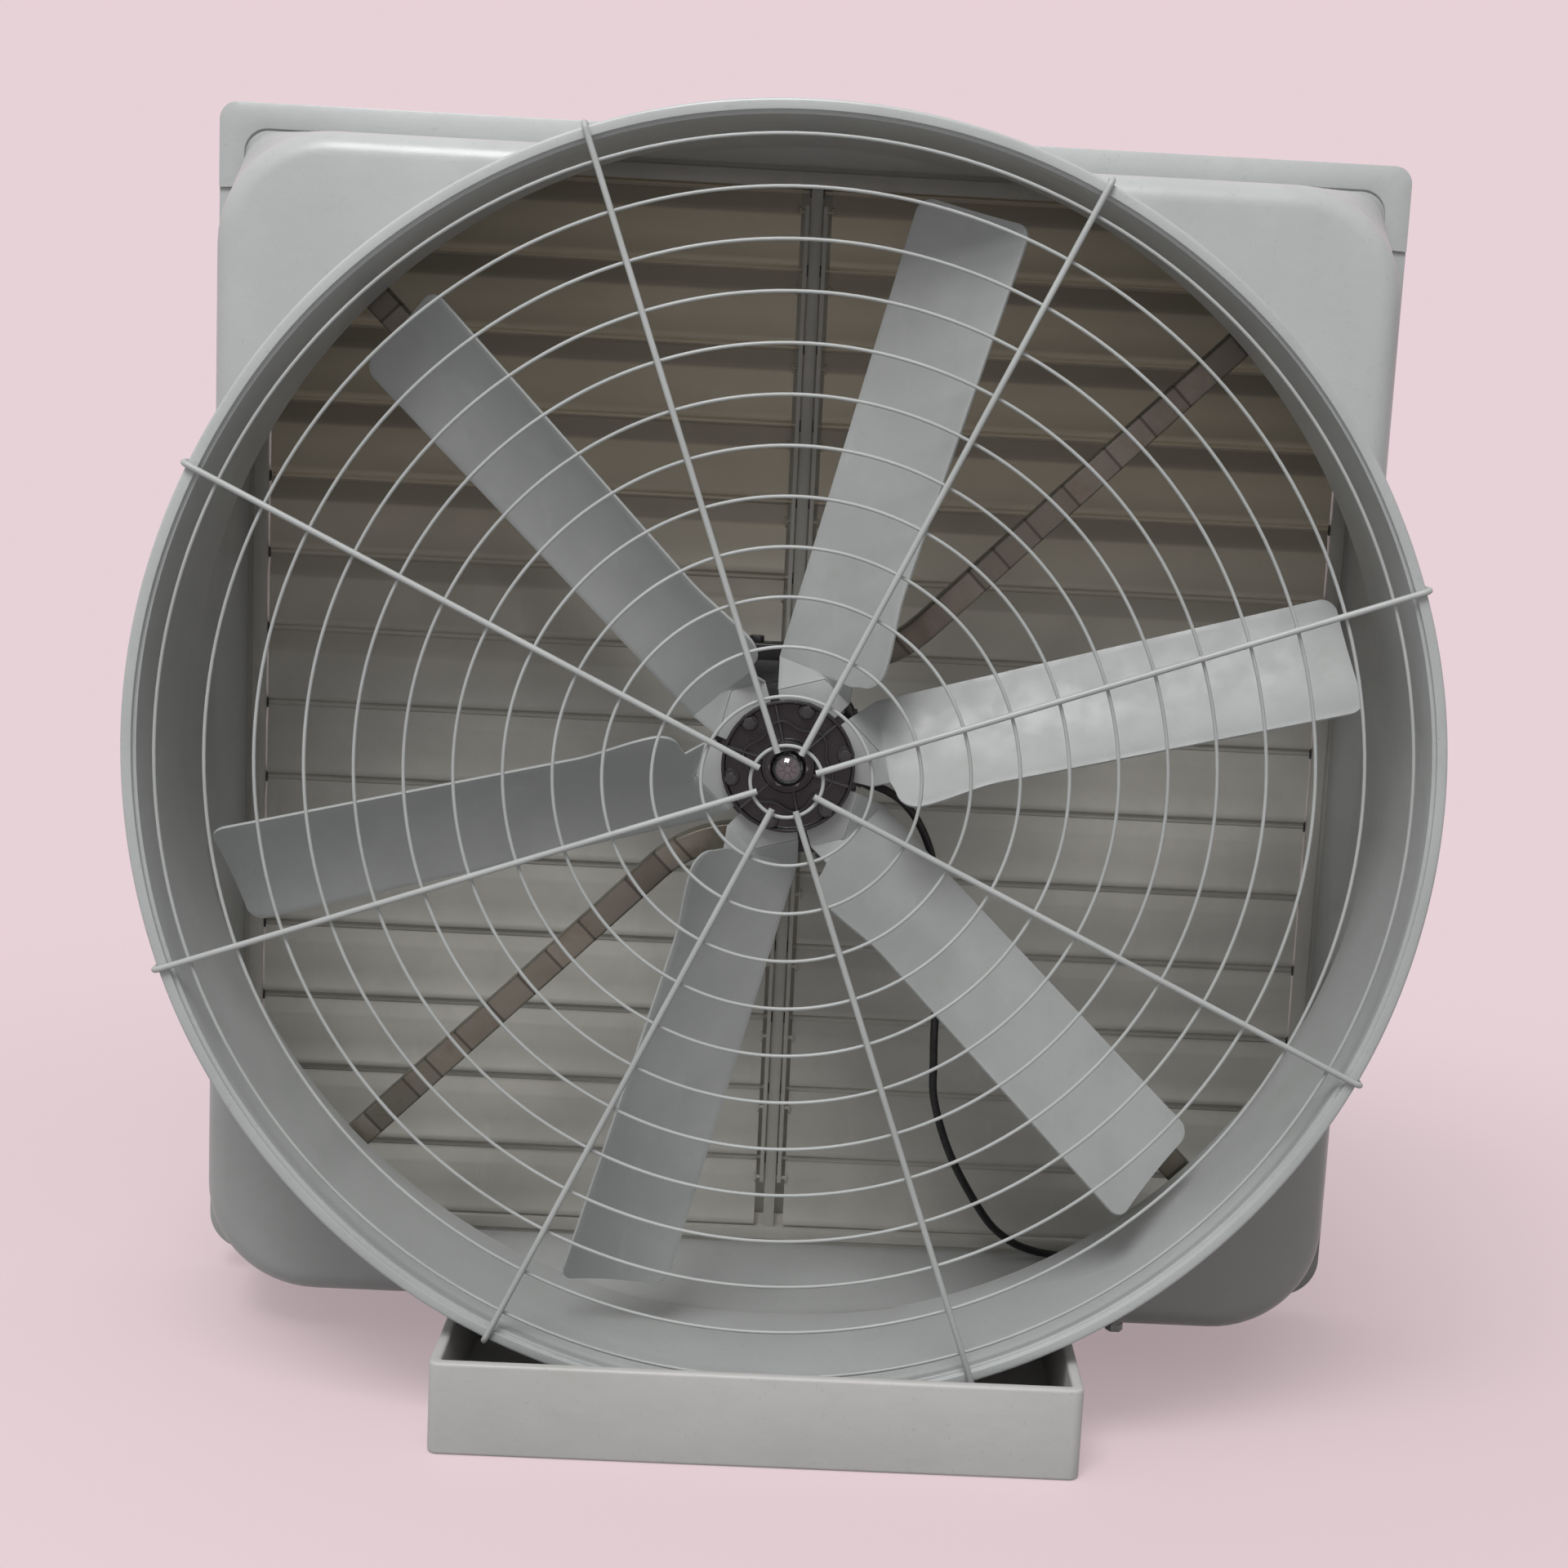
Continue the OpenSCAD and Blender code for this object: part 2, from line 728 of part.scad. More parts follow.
module motor_frame() {
    color([0.10, 0.10, 0.11]) at_fan() difference() {
        union() {
            rod_y(motor_r, motor_y, motor_len, 96);
            for (k = [0:fin_count - 1])
                rotate([0, 360 * (k + 0.5) / fin_count, 0])
                    translate([motor_r - 2, motor_y + 4, -fin_w / 2])
                        cube([fin_h + 2, motor_len - 8, fin_w]);
            for (s = [-1, 1])
                translate([-saddle_w / 2, brace_y - saddle_d / 2,
                    s > 0 ? saddle_root : -saddle_z])
                    cube([saddle_w, saddle_d, saddle_z - saddle_root]);
            rotate([0, -gland_ang, 0]) translate([0, gland_y, 0])
                rod_x(gland_r + 4, frame_in, motor_r + 8 - frame_in);
        }
        rod_y(frame_in, motor_y - cut, motor_len + 2 * cut, 96);
        for (s = [-1, 1], x = [-motor_bolt_x, motor_bolt_x])
            translate([x, brace_y, s > 0 ? saddle_z - motor_bolt_depth - cut : -saddle_z - cut])
                cylinder(h = motor_bolt_depth + 2 * cut, r = motor_bolt_r + 0.1);
        at_bell_screws() {
            rod_y(bell_screw_r + 0.1, motor_y - cut, 13, 24);
            rod_y(bell_screw_r + 0.1, motor_back - 12, 13, 24);
        }
    }
}

module at_bell_screws() {
    for (k = [0:3])
        rotate([0, 45 + k * 90, 0]) translate([bell_screw_pcd, 0, 0]) children();
}

module end_bell(y_face, dir) {
    color([0.09, 0.09, 0.10]) at_fan() translate([0, y_face, 0])
    mirror([0, dir < 0 ? 1 : 0, 0]) difference() {
        union() {
            rod_y(bell_r, seat, bell_t - seat, 96);
            rod_y(boss_r, -boss_len, boss_len + cut);
        }
        rod_y(bearing_r + run, -bearing_w, bearing_w + bell_t - bell_web);
        rod_y(shaft_r + 1, -cut, bell_t + 2 * cut);
        at_bell_screws() rod_y(bell_screw_r + 0.3, -cut, bell_t + 2 * cut, 24);
    }
}

module front_bell() {
    end_bell(motor_y, -1);
}

module rear_bell() {
    end_bell(motor_back, 1);
}

module bell_screws() {
    color([0.6, 0.6, 0.6]) at_fan() at_bell_screws() {
        bell_screw(motor_y, -1);
        bell_screw(motor_back, 1);
    }
}

module bell_screw(y_face, dir) {
    translate([0, y_face, 0]) mirror([0, dir < 0 ? 1 : 0, 0]) {
        rod_y(bell_screw_r, -10, bell_t + 10 + cut, 24);
        translate([0, bell_t + 0.1, 0]) rotate([-90, 0, 0])
            cylinder(h = bell_head, r = 2 * bell_screw_r, $fn = 6);
    }
}

module tube_section() {
    difference() {
        rounded_square(tube_d / 2, tube_r, tube_r);
        square(tube_d - 2 * tube_wall, center = true);
    }
}

// A square brace tube: level across the middle, bent up onto the diagonals at both sides
module brace_tube() {
    flat_half = round(tube_z - bend_run);
    rotate([0, 90, 0]) translate([0, 0, -flat_half])
        linear_extrude(height = 2 * flat_half) tube_section();
    for (s = [0, 1]) mirror([s, 0, 0]) translate([flat_half, 0, bend_r]) {
        rotate([90, 0, 0]) rotate([0, 0, -90])
            rotate_extrude(angle = bend_deg, $fn = 96) translate([bend_r, 0]) tube_section();
        rotate([0, -bend_deg, 0]) translate([0, 0, -bend_r]) rotate([0, 90, 0])
            linear_extrude(height = arm_len) tube_section();
    }
}

module brace() {
    difference() {
        translate([0, brace_y, tube_z]) brace_tube();
        for (x = [-motor_bolt_x, motor_bolt_x])
            translate([x, brace_y, tube_z - tube_d])
                cylinder(h = 2 * tube_d, r = motor_bolt_r + 0.2);
    }
    for (s = [0, 1]) mirror([s, 0, 0]) difference() {
        translate([arm_end, foot_plate_y, arm_end]) rotate([0, 45, 0])
            translate([-foot_plate / 2, 0, -foot_plate / 2])
                cube([foot_plate, foot_plate_t, foot_plate]);
        at_foot_holes() rod_y(brace_hole_r, foot_plate_y - cut, foot_plate_t + 2 * cut, 24);
    }
}

module at_foot_holes() {
    for (s = [-1, 1])
        translate([arm_end, 0, arm_end]) rotate([0, -45, 0])
            translate([0, 0, s * brace_bolt_off]) children();
}

module brace_upper() {
    color([0.66, 0.66, 0.65]) at_fan() brace();
}

module brace_lower() {
    color([0.66, 0.66, 0.65]) at_fan() mirror([0, 0, 1]) brace();
}

module at_corners() {
    for (sx = [0, 1], sz = [0, 1]) mirror([sx, 0, 0]) mirror([0, 0, sz]) children();
}

module corner_pads() {
    color([0.68, 0.70, 0.70]) at_fan() at_corners() difference() {
        translate([arm_end, pad_y, arm_end]) rotate([0, 45, 0])
            translate([-pad_side / 2, 0, -pad_side / 2]) cube([pad_side, pad_t, pad_side]);
        at_foot_holes() rod_y(brace_bolt_r + 0.1, pad_y + 2, pad_t, 24);
    }
}

module brace_bolts() {
    color([0.55, 0.55, 0.56]) at_fan() at_corners() at_foot_holes() {
        rod_y(brace_bolt_r, pad_y + 3, pad_t - 3 + seat + foot_plate_t + 1, 24);
        translate([0, foot_plate_y + foot_plate_t, 0]) rotate([-90, 0, 0])
            cylinder(h = 6, r = brace_bolt_r * 1.7, $fn = 6);
    }
}

module motor_saddles() {
    top = tube_z - 4;
    color([0.16, 0.16, 0.17]) at_fan() for (s = [0, 1]) mirror([0, 0, s]) difference() {
        translate([-saddle_w / 2, brace_y - saddle_d / 2, saddle_z])
            cube([saddle_w, saddle_d, top - saddle_z]);
        translate([-saddle_w, brace_y - tube_d / 2 - seat, tube_z - tube_d / 2 - seat])
            cube([2 * saddle_w, tube_d + 2 * seat, tube_d]);
        for (x = [-motor_bolt_x, motor_bolt_x])
            translate([x, brace_y, saddle_z - cut])
                cylinder(h = top - saddle_z + 2 * cut, r = motor_bolt_r + 0.3);
    }
}

module motor_bolts() {
    seat_z = tube_z + tube_d / 2 + seat;
    color([0.20, 0.20, 0.21]) at_fan()
        for (s = [0, 1], x = [-motor_bolt_x, motor_bolt_x]) mirror([0, 0, s])
            translate([x, brace_y, 0]) {
                translate([0, 0, saddle_z - motor_bolt_depth + 1])
                    cylinder(h = seat_z - saddle_z + motor_bolt_depth + 1, r = motor_bolt_r);
                translate([0, 0, seat_z])
                    cylinder(h = motor_bolt_head, r = motor_bolt_r * 1.75, $fn = 6);
            }
}

module gland(len, r) {
    hex_len = 8;
    difference() {
        union() {
            cylinder(h = hex_len, r = r, $fn = 6);
            cylinder(h = len, r = r * 0.8);
        }
        translate([0, 0, len - 6]) cylinder(h = 7, r = lead_d / 2 + 0.4);
    }
}

module lead_gland() {
    color([0.05, 0.05, 0.05]) at_fan()
        rotate([0, -gland_ang, 0]) translate([motor_r + 8, gland_y, 0])
            rotate([0, 90, 0]) gland(gland_len, gland_r);
}

function spline(a, b, c, d, t) =
    0.5 * (2 * b + (c - a) * t + (2 * a - 5 * b + 4 * c - d) * t * t
        + (3 * b - a - 3 * c + d) * t * t * t);

function route_points(p, n) = concat(
    [for (i = [0:len(p) - 2], k = [0:n - 1])
        spline(p[max(i - 1, 0)], p[i], p[i + 1], p[min(i + 2, len(p) - 1)], k / n)],
    [p[len(p) - 1]]);

function unit(v) = v / norm(v);

function ring_at(p, i, r, sides) =
    let (last = len(p) - 1,
        t = unit(p[min(i + 1, last)] - p[max(i - 1, 0)]),
        a = unit(cross(t, [1, 1, 1])),
        b = cross(t, a))
    [for (k = [0:sides - 1])
        p[i] + r * (cos(360 * k / sides) * a + sin(360 * k / sides) * b)];

module swept_tube(path, r, sides) {
    n = len(path);
    points = [for (i = [0:n - 1]) each ring_at(path, i, r, sides)];
    walls = [for (i = [0:n - 2], k = [0:sides - 1])
        let (a = i * sides + k, b = i * sides + (k + 1) % sides)
        each [[a, a + sides, b], [b, a + sides, b + sides]]];
    polyhedron(
        points = points,
        faces = concat(
            [[for (k = [0:sides - 1]) k]],
            walls,
            [[for (k = [0:sides - 1]) n * sides - 1 - k]]));
}

module motor_lead() {
    color([0.04, 0.04, 0.04]) at_fan()
        swept_tube(route_points(lead_route, lead_steps), lead_d / 2, lead_sides);
}

module junction_box() {
    color([0.30, 0.31, 0.32]) at_fan() translate([jbox_x, plate_back + seat, jbox_z])
    difference() {
        cube(jbox);
        translate([jbox_wall, jbox_wall, jbox_wall])
            cube([jbox[0] - 2 * jbox_wall, jbox[1], jbox[2] - 2 * jbox_wall]);
    }
}

module junction_lid() {
    color([0.33, 0.34, 0.35]) at_fan()
        translate([jbox_x, plate_back + seat + jbox[1] + 0.1, jbox_z])
            cube([jbox[0], lid_t, jbox[2]]);
}

module box_gland() {
    color([0.05, 0.05, 0.05]) at_fan()
        translate([jbox_x + jbox[0], jgland_y, jgland_z]) rotate([0, 90, 0])
            gland(jgland_reach, gland_r);
}

module supply_gland() {
    low = box_low - supply_low;
    color([0.05, 0.05, 0.05]) at_fan() translate([supply_x, supply_y, low]) {
        cylinder(h = jbox_z - low, r = supply_r);
        cylinder(h = supply_low - 1.8, r = gland_r, $fn = 6);
    }
}

module shutter_frame() {
    inner_x = frame_half - side_bar;
    inner_top = frame_half - top_bar;
    inner_low = frame_half - bottom_bar;
    color([0.66, 0.67, 0.66]) at_fan() difference() {
        union() {
            square_plate(frame_half, 5, 5, frame_y, frame_depth);
            translate([-lip_half, lip_y, -lip_half])
                cube([2 * lip_half, lip_sheet, 2 * lip_half]);
        }
        difference() {
            translate([-inner_x, frame_y - cut, -inner_low])
                cube([2 * inner_x, frame_depth + 2 * cut, inner_low + inner_top]);
            translate([-inner_x, hinge_y + 2, -inner_low]) cube([2 * inner_x, 4, rail_stop]);
            translate([-inner_x, frame_y, frame_half - header_h])
                cube([2 * inner_x, header_t, header_h]);
        }
        at_hinges() for (s = [-1, 1])
            rod_x(pin_r + hinge_play, s > 0 ? inner_x - cut : -inner_x - pin_reach - 1,
                pin_reach + 1 + cut, 32);
        screw_spots() rod_y(screw_r + 0.3, lip_y - cut, lip_sheet + 2 * cut, 24);
    }
}

module at_hinges() {
    for (k = [0:row_count - 1])
        translate([0, hinge_y, hinge_top - k * row_pitch]) children();
}

module shutter_post() {
    low = -(frame_half - bottom_bar);
    high = frame_half - top_bar;
    color([0.64, 0.65, 0.64]) at_fan() difference() {
        union() {
            translate([-post_half, hinge_y - 8, low])
                cube([post_w, frame_depth - 14, high - low]);
            translate([-post_back_w / 2, hinge_y + louver_top + 1, low])
                cube([post_back_w, post_back_t, high - low]);
        }
        at_hinges() rod_x(pin_r + hinge_play, -post_w, 2 * post_w, 32);
        translate([-post_w, hinge_y + 2, low - cut]) cube([2 * post_w, 4, rail_stop + cut]);
    }
}

module frame_screws() {
    color([0.75, 0.75, 0.76]) at_fan() screw_spots() {
        rod_y(screw_r, lip_y - flange_t + 1, flange_t + lip_sheet, 24);
        rod_y(2 * screw_r, lip_y + lip_sheet, 2.4, 24);
    }
}

module louver_row(index) {
    color([0.60, 0.60, 0.58]) at_fan()
        translate([0, hinge_y, hinge_top - index * row_pitch])
            for (s = [0, 1]) mirror([s, 0, 0]) louver();
}

module louver() {
    length = blade_out - blade_in;
    half_t = louver_t / 2;
    low = -louver_h;
    translate([blade_in, 0, 0]) rotate([90, 0, 90]) linear_extrude(height = length)
        polygon([
            [half_t, louver_top], [-half_t, louver_top], [-half_t, -1],
            [-louver_set - half_t, -1 - louver_band], [-louver_set - half_t, low],
            [-louver_set + half_t, low], [-louver_set + half_t, -1 - louver_band],
            [half_t, -1]
        ]);
    rod_x(barrel_r, blade_in, length, 32);
    rod_x(pin_r, blade_out - cut, side_gap + pin_reach + cut - 0.5, 24);
    rod_x(pin_r, post_half - 5, blade_in - post_half + 5 + cut, 24);
    translate([blade_in, 0, 0]) rotate([90, 0, 90]) linear_extrude(height = tab_t)
        polygon([
            [-0.75 * louver_set, -1 - 0.75 * louver_band], [-link_fwd - 3.5, -link_drop + 4],
            [-link_fwd - 3.5, -link_drop - 4], [-louver_set, -link_drop - 8],
            [-louver_set + half_t, -1 - louver_band]
        ]);
    translate([0, -link_fwd, -link_drop])
        rod_x(pin_r, bar_in - 0.5, blade_in - bar_in + 0.5 + cut, 24);
}

module link_bar() {
    top = hinge_top - link_drop + link_end;
    height = (row_count - 1) * row_pitch + 2 * link_end;
    difference() {
        translate([bar_in, hinge_y - link_fwd - bar_depth / 2, top - height])
            cube([bar_w, bar_depth, height]);
        at_hinges() translate([0, -link_fwd, -link_drop])
            rod_x(pin_r + hinge_play, 0, 2 * blade_in, 24);
    }
}

module link_bar_right() {
    color([0.58, 0.58, 0.57]) at_fan() link_bar();
}

module link_bar_left() {
    color([0.58, 0.58, 0.57]) at_fan() mirror([1, 0, 0]) link_bar();
}

module tray_block(half, y0, y1, z0, z1, r) {
    translate([0, 0, z0]) linear_extrude(height = z1 - z0) union() {
        translate([-half + r, y0]) square([2 * (half - r), y1 - y0]);
        translate([-half, y0 + r]) square([2 * half, y1 - y0 - 2 * r]);
        for (sx = [-1, 1], y = [y0 + r, y1 - r]) translate([sx * (half - r), y]) circle(r = r);
    }
}

module base_tray() {
    half = tray_w / 2;
    inner = half - tray_wall;
    front = -tray_front;
    back = tray_back;
    color([0.70, 0.71, 0.70]) at_fan() difference() {
        tray_block(half, front, back, tray_low, tray_top, tray_r);
        tray_block(inner, front + tray_wall, back - tray_wall,
            tray_low + tray_floor, tray_top + cut, 4);
        translate([-half - cut, tray_step_y, -flange_w / 2])
            cube([2 * half + 2 * cut, back - tray_step_y + cut, tray_h]);
    }
}

module rim_saddle() {
    floor_z = tray_low + tray_floor;
    top = -sqrt(rim_r * rim_r - saddle_half * saddle_half);
    color([0.10, 0.10, 0.10]) at_fan() difference() {
        translate([-saddle_half, 0, floor_z])
            cube([2 * saddle_half, saddle_len, top - floor_z]);
        rod_y(rim_r + seat, -cut, rim_d + cut + seat, 128);
        rod_y(horn_out + seat, rim_d, saddle_len, 128);
    }
}

housing_shell();
outlet_horn();
guard_rings();
guard_rods();
blade(0);  // blade_1
blade(1);  // blade_2
blade(2);  // blade_3
blade(3);  // blade_4
blade(4);  // blade_5
blade(5);  // blade_6
hub_front();
hub_back();
hub_bolts();
hub_nuts();
hub_washer();
dome_nut();
shaft_key();
motor_shaft();
rotor();
front_bearing();
rear_bearing();
stator_core();
stator_windings();
motor_frame();
front_bell();
rear_bell();
bell_screws();
brace_upper();
brace_lower();
corner_pads();
brace_bolts();
motor_saddles();
motor_bolts();
lead_gland();
motor_lead();
junction_box();
junction_lid();
box_gland();
supply_gland();
shutter_frame();
shutter_post();
frame_screws();
link_bar_left();
link_bar_right();
louver_row(0);  // louver_row_01
louver_row(1);  // louver_row_02
louver_row(2);  // louver_row_03
louver_row(3);  // louver_row_04
louver_row(4);  // louver_row_05
louver_row(5);  // louver_row_06
louver_row(6);  // louver_row_07
louver_row(7);  // louver_row_08
louver_row(8);  // louver_row_09
louver_row(9);  // louver_row_10
louver_row(10);  // louver_row_11
louver_row(11);  // louver_row_12
louver_row(12);  // louver_row_13
louver_row(13);  // louver_row_14
base_tray();
rim_saddle();
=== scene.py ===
"""Dresses the packed model of an industrial ventilation fan with finished surfaces."""

import json
import math

import bmesh
import bpy
import numpy as np
from bpy.props import FloatProperty, FloatVectorProperty, IntProperty, PointerProperty
from mathutils import Matrix, Vector

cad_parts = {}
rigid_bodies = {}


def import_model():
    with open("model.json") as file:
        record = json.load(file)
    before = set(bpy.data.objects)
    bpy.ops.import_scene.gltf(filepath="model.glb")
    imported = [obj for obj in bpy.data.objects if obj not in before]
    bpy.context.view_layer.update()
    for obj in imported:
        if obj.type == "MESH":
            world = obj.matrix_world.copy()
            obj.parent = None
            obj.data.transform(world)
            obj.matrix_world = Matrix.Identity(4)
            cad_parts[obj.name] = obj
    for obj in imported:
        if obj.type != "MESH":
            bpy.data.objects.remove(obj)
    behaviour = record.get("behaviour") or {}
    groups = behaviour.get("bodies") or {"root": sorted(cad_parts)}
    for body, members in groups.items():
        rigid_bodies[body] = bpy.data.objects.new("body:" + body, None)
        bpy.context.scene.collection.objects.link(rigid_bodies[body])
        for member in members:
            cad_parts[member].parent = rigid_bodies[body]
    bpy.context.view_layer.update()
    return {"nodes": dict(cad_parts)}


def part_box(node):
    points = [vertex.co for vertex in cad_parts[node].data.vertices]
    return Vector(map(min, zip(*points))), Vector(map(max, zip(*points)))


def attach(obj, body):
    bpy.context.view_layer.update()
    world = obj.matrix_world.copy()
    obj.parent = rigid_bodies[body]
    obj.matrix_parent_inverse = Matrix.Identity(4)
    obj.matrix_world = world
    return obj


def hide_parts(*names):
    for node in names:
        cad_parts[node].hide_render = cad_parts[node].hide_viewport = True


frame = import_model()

bl_info = {
    "name": "Ventilation fan",
    "version": (1, 0, 0),
    "blender": (4, 5, 0),
    "location": "View3D > Sidebar > Fan",
    "description": "Builds the finished pieces of a moulded cone fan over its frame",
    "category": "Add Mesh",
}

MM = 0.001
# Gap between pieces that lie on each other
GAP = 0.0003
HORN_LOW, HORN_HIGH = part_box("outlet_horn")
# The rim plane and the impeller axis, from which all pieces are measured
FAN = Vector((0.0, HORN_LOW.y, (HORN_LOW.z + HORN_HIGH.z) / 2))
ROWS = 14
BLADES = 6


def length(label, default, about):
    return FloatProperty(name=label, description=about, default=default, unit="LENGTH")


def share(label, default, about):
    return FloatProperty(
        name=label, description=about, default=default, min=0, max=1, subtype="FACTOR"
    )


def angle(label, degrees, about):
    return FloatProperty(
        name=label,
        description=about,
        default=math.radians(degrees),
        subtype="ANGLE",
        unit="ROTATION",
    )


def number(label, default, about):
    return IntProperty(name=label, description=about, default=default, min=1)


def colour(label, default, about):
    return FloatVectorProperty(
        name=label, description=about, default=default, size=3, min=0, max=1, subtype="COLOR"
    )


class FanStageSizes(bpy.types.PropertyGroup):
    """Camera, floor and lamps."""

    lens: FloatProperty(
        name="Lens", description="Focal length of the camera", default=55.19, unit="CAMERA"
    )
    floor: length("Floor", 60.0, "Width of the floor")
    backdrop: colour("Backdrop", (0.799, 0.645, 0.680), "Colour behind the fan")
    ground: share("Ground", 0.32, "How much light the floor throws back")
    sky: share("Sky", 0.66, "Strength of the light from above on the left")
    shade: share("Shade", 0.07, "Strength of the light from below on the right")
    key: FloatProperty(
        name="Key lamp", description="Power of the lamp above the front", default=312.0
    )


class FanHousingSizes(bpy.types.PropertyGroup):
    """The moulded box with its wall flange."""

    flange: length("Flange", 1.460, "Side of the square wall flange")
    flange_corner: length("Flange corner", 0.022, "Corner radius of the flange's top")
    low_corner: length("Lower corner", 0.050, "Corner radius of the flange's bottom")
    flange_front: length("Flange face", 0.459, "Distance from the rim to the flange")
    flange_depth: length("Flange depth", 0.033, "Depth of the flange with its lip")
    front: length("Box front", 1.364, "Outside width of the box at its front")
    back: length("Box back", 1.390, "Outside width of the box at the flange")
    drop: length("Front drop", 0.016, "How much further down than up the front reaches")
    front_corner: length("Front corner", 0.132, "Corner radius at the front")
    back_corner: length("Back corner", 0.025, "Corner radius at the flange")
    edge: length("Front edge", 0.030, "Rounding of the front edge")
    wall: length("Wall", 0.005, "Wall thickness")
    band: length("Top band", 0.102, "Height of the thick band along the flange's top")
    band_proud: length("Band relief", 0.004, "How far that band stands proud")
    hole: length("Wall hole", 0.0055, "Radius of a wall bolt hole")


class FanHornSizes(bpy.types.PropertyGroup):
    """The round outlet horn."""

    inner: length("Inner radius", 0.702, "Inner radius of the horn")
    reach: length("Length", 0.232, "Length in front of the box")
    tail: length("Straight tail", 0.113, "Straight run behind the box's face")
    taper: length("Tail taper", 0.070, "Length of the tapered tail")
    drop: length("Tail drop", 0.022, "Radius lost along the taper")
    ledge: length("Ledge", 0.004, "Width of the ledge inside the rim")
    ledge_depth: length("Ledge depth", 0.006, "Depth of the ledge")
    rim: length("Rim face", 0.012, "Width of the rim's flat face")
    bead: length("Rim bead", 0.016, "Depth of the rim bead")


class FanGuardSizes(bpy.types.PropertyGroup):
    """The wire guard."""

    rings: number("Rings", 13, "Number of rings")
    rods: number("Rods", 8, "Number of radial rods")
    first: length("First ring", 0.0395, "Radius of the smallest ring")
    pitch: length("Ring pitch", 0.0535, "Distance from ring to ring")
    ring_wire: length("Ring wire", 0.004, "Diameter of a ring's wire")
    rod_wire: length("Rod wire", 0.007, "Diameter of a rod")
    turn: angle("First rod", 19.6, "Angle of the first rod")
    hook: length("Hook bend", 0.008, "Bend radius of the hooks")
    hook_end: length("Hook end", 0.014, "Straight end of a hook")


class FanImpellerSizes(bpy.types.PropertyGroup):
    """Blades and hub."""

    tip: length("Tip radius", 0.646, "Radius at the blade tips")
    chord: length("Chord", 0.148, "Width of a blade")
    sheet: length("Blade sheet", 0.003, "Thickness of a blade")
    camber: length("Camber", 0.009, "Camber height of a blade")
    pitch: angle("Pitch", 34, "Blade angle away from the plane of rotation")
    turn: angle("First blade", 14, "Angle of the first blade")
    depth: length("Blade depth", 0.123, "Distance from the rim to the blades")
    corner: length("Root corner", 0.026, "Corner radius at a blade's root")
    swell: length("Root swell", 0.012, "How far that corner stands out")
    waist: length("Root waist", 0.017, "How much the back edge draws in at the root")
    foot: length("Foot radius", 0.097, "Outer radius of the blade feet")
    hub: length("Hub radius", 0.0755, "Radius of the front disc")
    hub_depth: length("Hub thickness", 0.014, "Thickness of the front disc")
    bolts: length("Bolt circle", 0.066, "Radius of the circle of hub bolts")
    collar: length("Collar", 0.0482, "Mean radius of the scalloped collar")


class FanBraceSizes(bpy.types.PropertyGroup):
    """The bent tubes that carry the motor."""

    tube: length("Tube", 0.032, "Outer side of the square tube")
    corner: length("Tube corner", 0.003, "Corner radius of the tube")
    level: length("Level", 0.108, "Height of the level part above the axis")
    bend: length("Bend", 0.150, "Bend radius")
    end: length("Arm end", 0.572, "Height of the tube ends above the axis")
    depth: length("Depth", 0.265, "Distance from the rim to the tubes")


class FanShutterSizes(bpy.types.PropertyGroup):
    """The gravity shutter at the back."""

    row_pitch: length("Row pitch", 0.0953, "Distance from hinge to hinge")
    first_hinge: length("First hinge", 0.6615, "Height of the first hinge above the axis")
    hinge_depth: length("Hinge depth", 0.478, "Distance from the rim to the hinges")
    louver: length("Louver height", 0.089, "Height of a louver below its hinge")
    above: length("Above hinge", 0.012, "Height of a louver above its hinge")
    band: length("Top band", 0.022, "Height of the sloping band under the hinge")
    set: length("Set", 0.008, "How far a louver's face stands forward of its hinge")
    sheet: length("Sheet", 0.0016, "Thickness of a louver")
    inner: length("Inner end", 0.019, "Inner end of a louver, from the middle")
    outer: length("Outer end", 0.665, "Outer end of a louver, from the middle")


class FanLeadSizes(bpy.types.PropertyGroup):
    """The motor lead."""

    diameter: length("Diameter", 0.010, "Diameter of the lead")


class FanColours(bpy.types.PropertyGroup):
    """Colours of the finishes."""

    shell: colour("Shell", (0.496, 0.510, 0.508), "Moulded housing and horn")
    tray: colour("Tray", (0.560, 0.550, 0.535), "Moulded floor tray")
    wire: colour("Wire", (0.470, 0.486, 0.474), "Coated guard wires")
    blade: colour("Blade", (0.425, 0.438, 0.430), "Coated blades")
    shutter: colour("Shutter", (0.480, 0.465, 0.425), "Shutter sheet")
    black: colour("Black", (0.018, 0.018, 0.020), "Black paint and rubber")
    steel: colour("Steel", (0.560, 0.545, 0.515), "Bare and polished steel")


GROUPS = {
    "fan_stage": FanStageSizes,
    "fan_housing": FanHousingSizes,
    "fan_horn": FanHornSizes,
    "fan_guard": FanGuardSizes,
    "fan_impeller": FanImpellerSizes,
    "fan_brace": FanBraceSizes,
    "fan_shutter": FanShutterSizes,
    "fan_lead": FanLeadSizes,
    "fan_colours": FanColours,
}


# Finishes

RANGE = ("From Min", "From Max", "To Min", "To Max")
FINISH = {}


